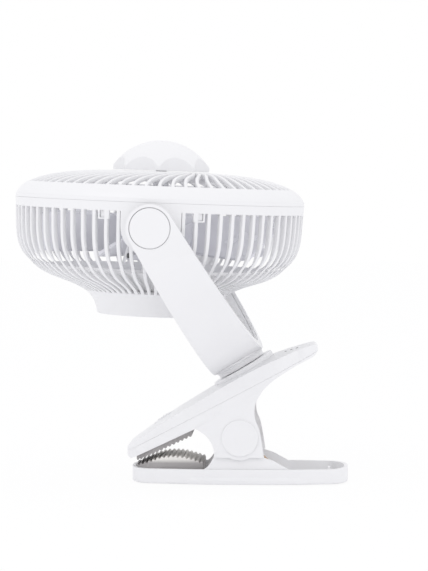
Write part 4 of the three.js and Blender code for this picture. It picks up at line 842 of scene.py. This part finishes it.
def cover_side(wall):
    """The cover from the side, or its hollow where it gets a wall."""
    if not wall:
        return ([(nose_x, seam_at(nose_x) + half_gap)] + top_line
                + [(tail_x, seam_at(tail_x) + half_gap)])
    front, back = -64, 39.2
    kept = [(x, z) for x, z in top_line if front < x < back]
    low = [(x + wall * slope * 0.4, z - wall * 1.15) for x, z in kept]
    return [(front, seam_at(front) - 1)] + low + [(back, seam_at(back) - 1)]


def crowned(name, outline, half):
    made = seated(prism(name, outline, -half, half), FROM_SIDE)
    sliced(made, -half, half, 18)
    for corner in made.data.vertices:
        x, y, z = (v / MM for v in corner.co)
        fall = 2.4 * abs(y / cheek_face) ** 2.5 * min(max(z - seam_at(x), 0) / 6, 1)
        corner.co.z -= fall * MM
    return made


def square_to_cover(x):
    """A place on the cover's middle line, with Z standing square to it."""
    (x0, z0), (x1, z1) = next(pair for pair in zip(top_line, top_line[1:]) if pair[1][0] >= x)
    height = z0 + (z1 - z0) * (x - x0) / (x1 - x0)
    return (Matrix.Translation(Vector((x, 0, height)) * MM)
            @ Matrix.Rotation(-math.atan2(z1 - z0, x1 - x0), 4, "Y"))


def plug(radius, low, high, faces=48):
    return turned("plug", [(0, low), (radius, low), (radius, high), (0, high)], faces)


cover = crowned("cover", cover_side(0), 29)
cover = combined(cover, prism("plan", jaw_plan(0), 0, 110), "INTERSECT")
cover = rounded(cover, 1.3, 4, 48)
hollow = combined(seated(prism("hollow", cover_side(3), -26, 26), FROM_SIDE),
                  prism("plan", jaw_plan(2), 0, 110), "INTERSECT")
cover = combined(cover, hollow)
seat_ring = turned("seat_ring", [(8.4, disc_low - 2.3), (17.6, disc_low - 2.3), (17.6, disc_low - 0.2),
                                 (8.4, disc_low - 0.2), (8.4, disc_low - 2.3)], 64)
cover = combined(cover, seated(seat_ring, on_yoke), "UNION")
disc_slot = plug(20.9, disc_low - 0.15, disc_low + 24, 96)
spigot_slot = plug(8.4, disc_low - 30, disc_low + 5, 64)
for tool in (disc_slot, spigot_slot):
    cover = combined(cover, seated(tool, on_yoke))
cover = combined(cover, seated(plug(6.8, -10, 5, 64), square_to_cover(button_x)))
for x in light_places:
    hole = seated(plug(0.9, -8, 4, 24), light_side)
    cover = combined(cover, seated(hole, square_to_cover(x)))
finished(smooth(cover, 30), "upper_jaw", "jaw_cover")

# %% [markdown]
# ## The upper jaw's body and cheeks
# The body under the cover narrows to the nose, and its two cheeks reach down round the spring pin.
# Their outline is arcs and short curves. It is one moulding, so the cheeks are joined by a union,
# and one bevel then softens every outer edge.

# %% Body and cheeks
def cheek_outline():
    front = [(-27.5, 34.7)] + bezier((-27.5, 34.7), (-21, 31.5), (-15, 26), (-16, 17), 16)
    boss_radius = 13.6
    dip = math.degrees(math.acos(12 / boss_radius))
    boss = arc(0, pin_height, boss_radius, -90 - dip, -90 + dip, 20)
    rear = curve([(14.9, 17), (12.2, 33), (9.4, 41), (9.2, 48), (11, 53.2), (14.4, 58.8)], 5)
    return front + boss + rear + [(-10, 45)]


thumb = curve([(47.2, 80.6), (45, 78.5), (35, 73.5), (23, 66.3), (14.4, 58.8), (10, 51.5)], 5)
body_side = [(nose_x, seam_at(nose_x) - half_gap), (tail_x, seam_at(tail_x) - half_gap)]
body_side += thumb + [(-27.5, 34.7), (-68, 15.2), (-70.4, 16.4)]
body = seated(prism("body", body_side, -29, 29), FROM_SIDE)
body = combined(body, prism("plan", jaw_plan(0), 0, 110), "INTERSECT")
for side in (-1, 1):
    low, high = sorted((-side * cheek_back, -side * cheek_face))
    body = combined(body, seated(prism("cheek", cheek_outline(), low, high), FROM_SIDE), "UNION")
body = rounded(body, 0.45, 3, 50)
under = [(-62, seam_at(-62) + 2), (40, seam_at(40) + 2), (36, 75.5), (23, 68.9), (10, 56.1),
         (-27.5, 36.7), (-62, 20.2)]
hollow = combined(seated(prism("hollow", under, -28, 28), FROM_SIDE),
                  prism("plan", jaw_plan(2), 0, 110), "INTERSECT")
body = combined(body, hollow)
body = combined(body, seated(block("slot", (-4.75, 10, -1.9), (4.75, 30, 1.9), 1.2, 4),
                             Matrix.Translation(Vector((-6, 0, 50.5)) * MM)
                             @ Matrix.Rotation(-math.atan(slope), 4, "Y")))
body = combined(body, seated(plug(3.4, -30, 30, 32), on_pin()))
finished(smooth(body, 30), "upper_jaw", "jaw_body")

# %% [markdown]
# ## Caps, button and lights of the upper jaw
# Two round caps cover the ends of the spring's pin. The button has low grip ridges and a flange
# that holds it under the cover. One smoked bar carries the three light pips.

# %% Caps, button and lights
cap_line = [(0, 28.15), (11.3, 28.15), (11.3, 28.62), (11.15, 28.86), (10.8, 29.0), (9.4, 29.0),
            (9.0, 28.9), (6, 28.94), (0, 28.96)]
for side, name in ((-1, "near"), (1, "far")):
    cap = seated(turned(f"spring_cap_{name}", cap_line, 96), on_pin(side))
    finished(smooth(cap, 20), "upper_jaw", f"spring_cap_{name}")

button = turned("power_push", [
    (0, -5), (1.5, -5), (1.5, -4.6), (7.4, -4.6), (7.4, -3.8), (5.5, -3.8), (5.5, -1.6), (6.5, -1.6),
    (6.5, 0.05), (6.3, 0.3), (5.9, 0.4), (3, 0.5), (0, 0.55)], 64)
for i in range(4):
    at = (i - 1.5) * 1.9
    reach = math.sqrt(4.9 ** 2 - at ** 2)
    ridge = block("ridge", (at - 0.4, -reach, 0), (at + 0.4, reach, 0.85), 0.25, 2)
    button = combined(button, ridge, "UNION")
finished(seated(smooth(button, 25), square_to_cover(button_x)), "power_button", "power_button")

lens = block("lights", (-6, -12.6, -4.6), (6, -9.4, -3), 0.3, 2)
seated(lens, square_to_cover(light_places[1]))
for x in light_places:
    pip = turned("pip", [(0, -4), (0.8, -4), (0.8, -0.25), (0.6, -0.05), (0, 0)], 24)
    lens = combined(lens, seated(seated(pip, light_side), square_to_cover(x)), "UNION")
finished(smooth(lens, 30), "upper_jaw", "indicator_lens")

# %% [markdown]
# ## The base
# The base is a tray. Its lip swells out at mid length and falls off in a sloping facet, which is
# why the facet is shaped like a lens. Two ears inside the wall carry the spring's pin.

# %% Base with ears, foot and pin
lip_half, wall_half = 30, 28.4
wall_top = 9.6


def base_plan(middle, narrow=0.0):
    return boat(-67.8 + narrow, 66.9 - narrow, 24 - narrow, middle - narrow, 25.5 - narrow, 4, 14)


def bend(a, b, c):
    """Four points from a to c on a curve that heads for b."""
    return [tuple((1 - t) ** 2 * Vector(a) + 2 * t * (1 - t) * Vector(b) + t * t * Vector(c))
            for t in (0.25, 0.5, 0.75, 1)]


base = levels("base_tray", [
    (base_plan(lip_half, 0.45), 0.6), (base_plan(lip_half, 0.1), 0.85), (base_plan(lip_half), 1.3),
    (base_plan(lip_half), 3.0), (base_plan(wall_half), 4.9), (base_plan(wall_half), wall_top)])
base = combined(base, prism("tray", base_plan(wall_half, 2.2), 2.8, 12))
pad_floor = combined(prism("pad_floor", base_plan(wall_half, 2.0), 2.4, 5.2),
                     block("behind", (-21.5, -30, 0), (70, 30, 9)))
base = combined(base, pad_floor, "UNION")
ear_line = [(-22, 2.4), (30, 2.4), (30, wall_top), (20.4, 14.8), (14.4, 16.8), (6, 22.8)]
ear_line += arc(0, pin_height, 7, 0, 180, 20) + [(-6, 22.8), (-16.4, 16.8)]
ear_line += bend((-16.4, 16.8), (-19, 11), (-22, wall_top))
for side in (-1, 1):
    low, high = sorted((side * 23.6, side * 25.8))
    base = combined(base, seated(prism("ear", ear_line, low, high), FROM_SIDE), "UNION")
base = combined(base, block("leg_stop", (54.4, -5, 2.4), (55.6, 5, 8.6)), "UNION")
base = combined(base, seated(plug(3.3, -30, 30, 32), on_pin()))
base = rounded(base, 0.4, 3, 42)
finished(smooth(base, 30), "base", "base_shell")

foot = rounded(prism("foot_pad", boat(-59.8, 58.9, 17.5, 19.5, 17.5, 0, 10), 0, 1.4), 0.3, 2)
finished(smooth(foot, 30), "base", "base_foot")
pin = turned("spring_pin", [(0, -27.8), (2.6, -27.8), (3, -27.4), (3, 27.4), (2.6, 27.8),
                            (0, 27.8)], 48)
finished(smooth(seated(pin, on_pin()), 30), "base", "spring_pin")

# %% [markdown]
# ## Toothed pads
# Both jaws are lined with soft pads whose faces are fine cross ridges. The face is a zigzag along
# a line. The pad is trimmed to the base's plan, and its edges are softened. The lower pad's highest
# ridges get a painted highlight for the light that falls on their tops from above, so its finish
# turns lighter with height.

# %% Pads
def toothed(line, tooth, pitch, down=1):
    """Ridges along a line of (x, z): flat-topped teeth that stand off it."""
    lengths = [0.0]
    for (x0, z0), (x1, z1) in zip(line, line[1:]):
        lengths.append(lengths[-1] + math.hypot(x1 - x0, z1 - z0))
    count = round(lengths[-1] / pitch)
    step = lengths[-1] / count

    def at(s, proud):
        i = max(k for k, length in enumerate(lengths[:-1]) if length <= s + 1e-9)
        (x0, z0), (x1, z1) = line[i], line[i + 1]
        share = (s - lengths[i]) / (lengths[i + 1] - lengths[i])
        dx, dz = x1 - x0, z1 - z0
        size = math.hypot(dx, dz)
        return (x0 + dx * share + down * dz / size * proud,
                z0 + dz * share - down * dx / size * proud)
    marks = []
    for i in range(count):
        for part, proud in ((0.08, 0), (0.38, tooth), (0.62, tooth), (0.92, 0)):
            marks.append(at((i + part) * step, proud))
    return marks


def under_nose(x):
    return 15.2 + (x + 68) * 19.5 / 40.5


def pad(name, outline):
    made = combined(seated(prism(name, outline, -21.5, 21.5), FROM_SIDE),
                    prism("plan", base_plan(wall_half, 2.5), 0, 60), "INTERSECT")
    return smooth(rounded(made, 0.18, 2, 30), 40)


def pale_above(finish, name, low, high, colour):
    """A finish that turns to another colour between two heights, which paints light onto the tops."""
    painted_highlight_finish = finish.copy()
    painted_highlight_finish.name = name
    tree = painted_highlight_finish.node_tree
    surface = next(node for node in tree.nodes if node.type == "BSDF_PRINCIPLED")
    place = next(node for node in tree.nodes if node.type == "TEX_COORD")
    spot = wired(tree, "ShaderNodeSeparateXYZ", {0: place.outputs["Object"]})
    rise = wired(tree, "ShaderNodeMapRange",
                 {"Value": spot.outputs["Z"], "From Min": low * MM, "From Max": high * MM})
    # Painted highlight: the colour turns pale towards the top, where light falls from above.
    highlight_mix = wired(tree, "ShaderNodeMix", {0: rise.outputs[0]}, data_type="RGBA")
    tree.links.new(surface.inputs["Base Color"].links[0].from_socket, highlight_mix.inputs[6])
    highlight_mix.inputs[7].default_value = (*colour, 1)
    tree.links.new(highlight_mix.outputs[2], surface.inputs["Base Color"])
    return painted_highlight_finish


pad_gap = 0.3
pitch = 2.75
upper_face = toothed([(-65.5, under_nose(-65.5) - 2.7), (-29.5, under_nose(-29.5) - 3.1)], 0.9, pitch)
upper = [(-65.5, under_nose(-65.5) - pad_gap)] + upper_face + [(-29, under_nose(-29) - pad_gap)]
finished(pad("upper_teeth", upper), "upper_jaw", "upper_pad")
lower_line = curve([(-65.4, 9.8), (-58, 12.4), (-50, 15.3), (-43, 16.3), (-34, 15.6), (-22.6, 12.2)], 6)
lower = [(-65.6, 5.5)] + toothed(lower_line, 1.0, pitch, -1) + [(-22.6, 5.5)]
# The pale colour on the ridge tops is a painted highlight, not wear.
painted_highlight_finish = pale_above(finishes["rubber"], "rubber_with_painted_ridge_highlight", 12.8, 15.2, (0.78, 0.76, 0.72))
finished(pad("lower_teeth", lower), "base", "lower_pad", look=painted_highlight_finish)

# %% [markdown]
# ## Connector of the motor's lead
# Through the ribs beside the near pivot, one small connector can be seen on the motor's lead. It is
# black, and shares the dark finish of the rotor's magnet.

# %% Connector
connector = block("lead_connector", (-13.9, -81.6, -18.6), (-10.3, -79.3, -15.4), 0.4, 2)
finished(smooth(seated(connector, on_head), 30), "head", finish="magnet")

# %% [markdown]
# ## The spring
# The spring's lower leg lies in the base and its upper leg under the jaw's sloping floor, so the
# coil between them winds up as the jaw opens. The spring is a copy of its solid, whose upper end
# is drawn in behind the cheek.

# %% Spring
spring = copied(frame["nodes"]["torsion_spring"], Matrix())
spring.parent = None
spring.matrix_world = Matrix()
spring.name = spring.data.name = "spring_wire"
closed(spring, 0.000005)
leg_end = Vector((9, 0, 46)) * MM
for corner in spring.data.vertices:
    if corner.co.x > leg_end.x and corner.co.z > leg_end.z:
        corner.co -= Vector((3.8, 0, 2.2)) * MM
spring.data.materials.clear()
spring.data.materials.append(finishes["spring"])
smooth(spring, 50)
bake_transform(spring)
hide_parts("torsion_spring")
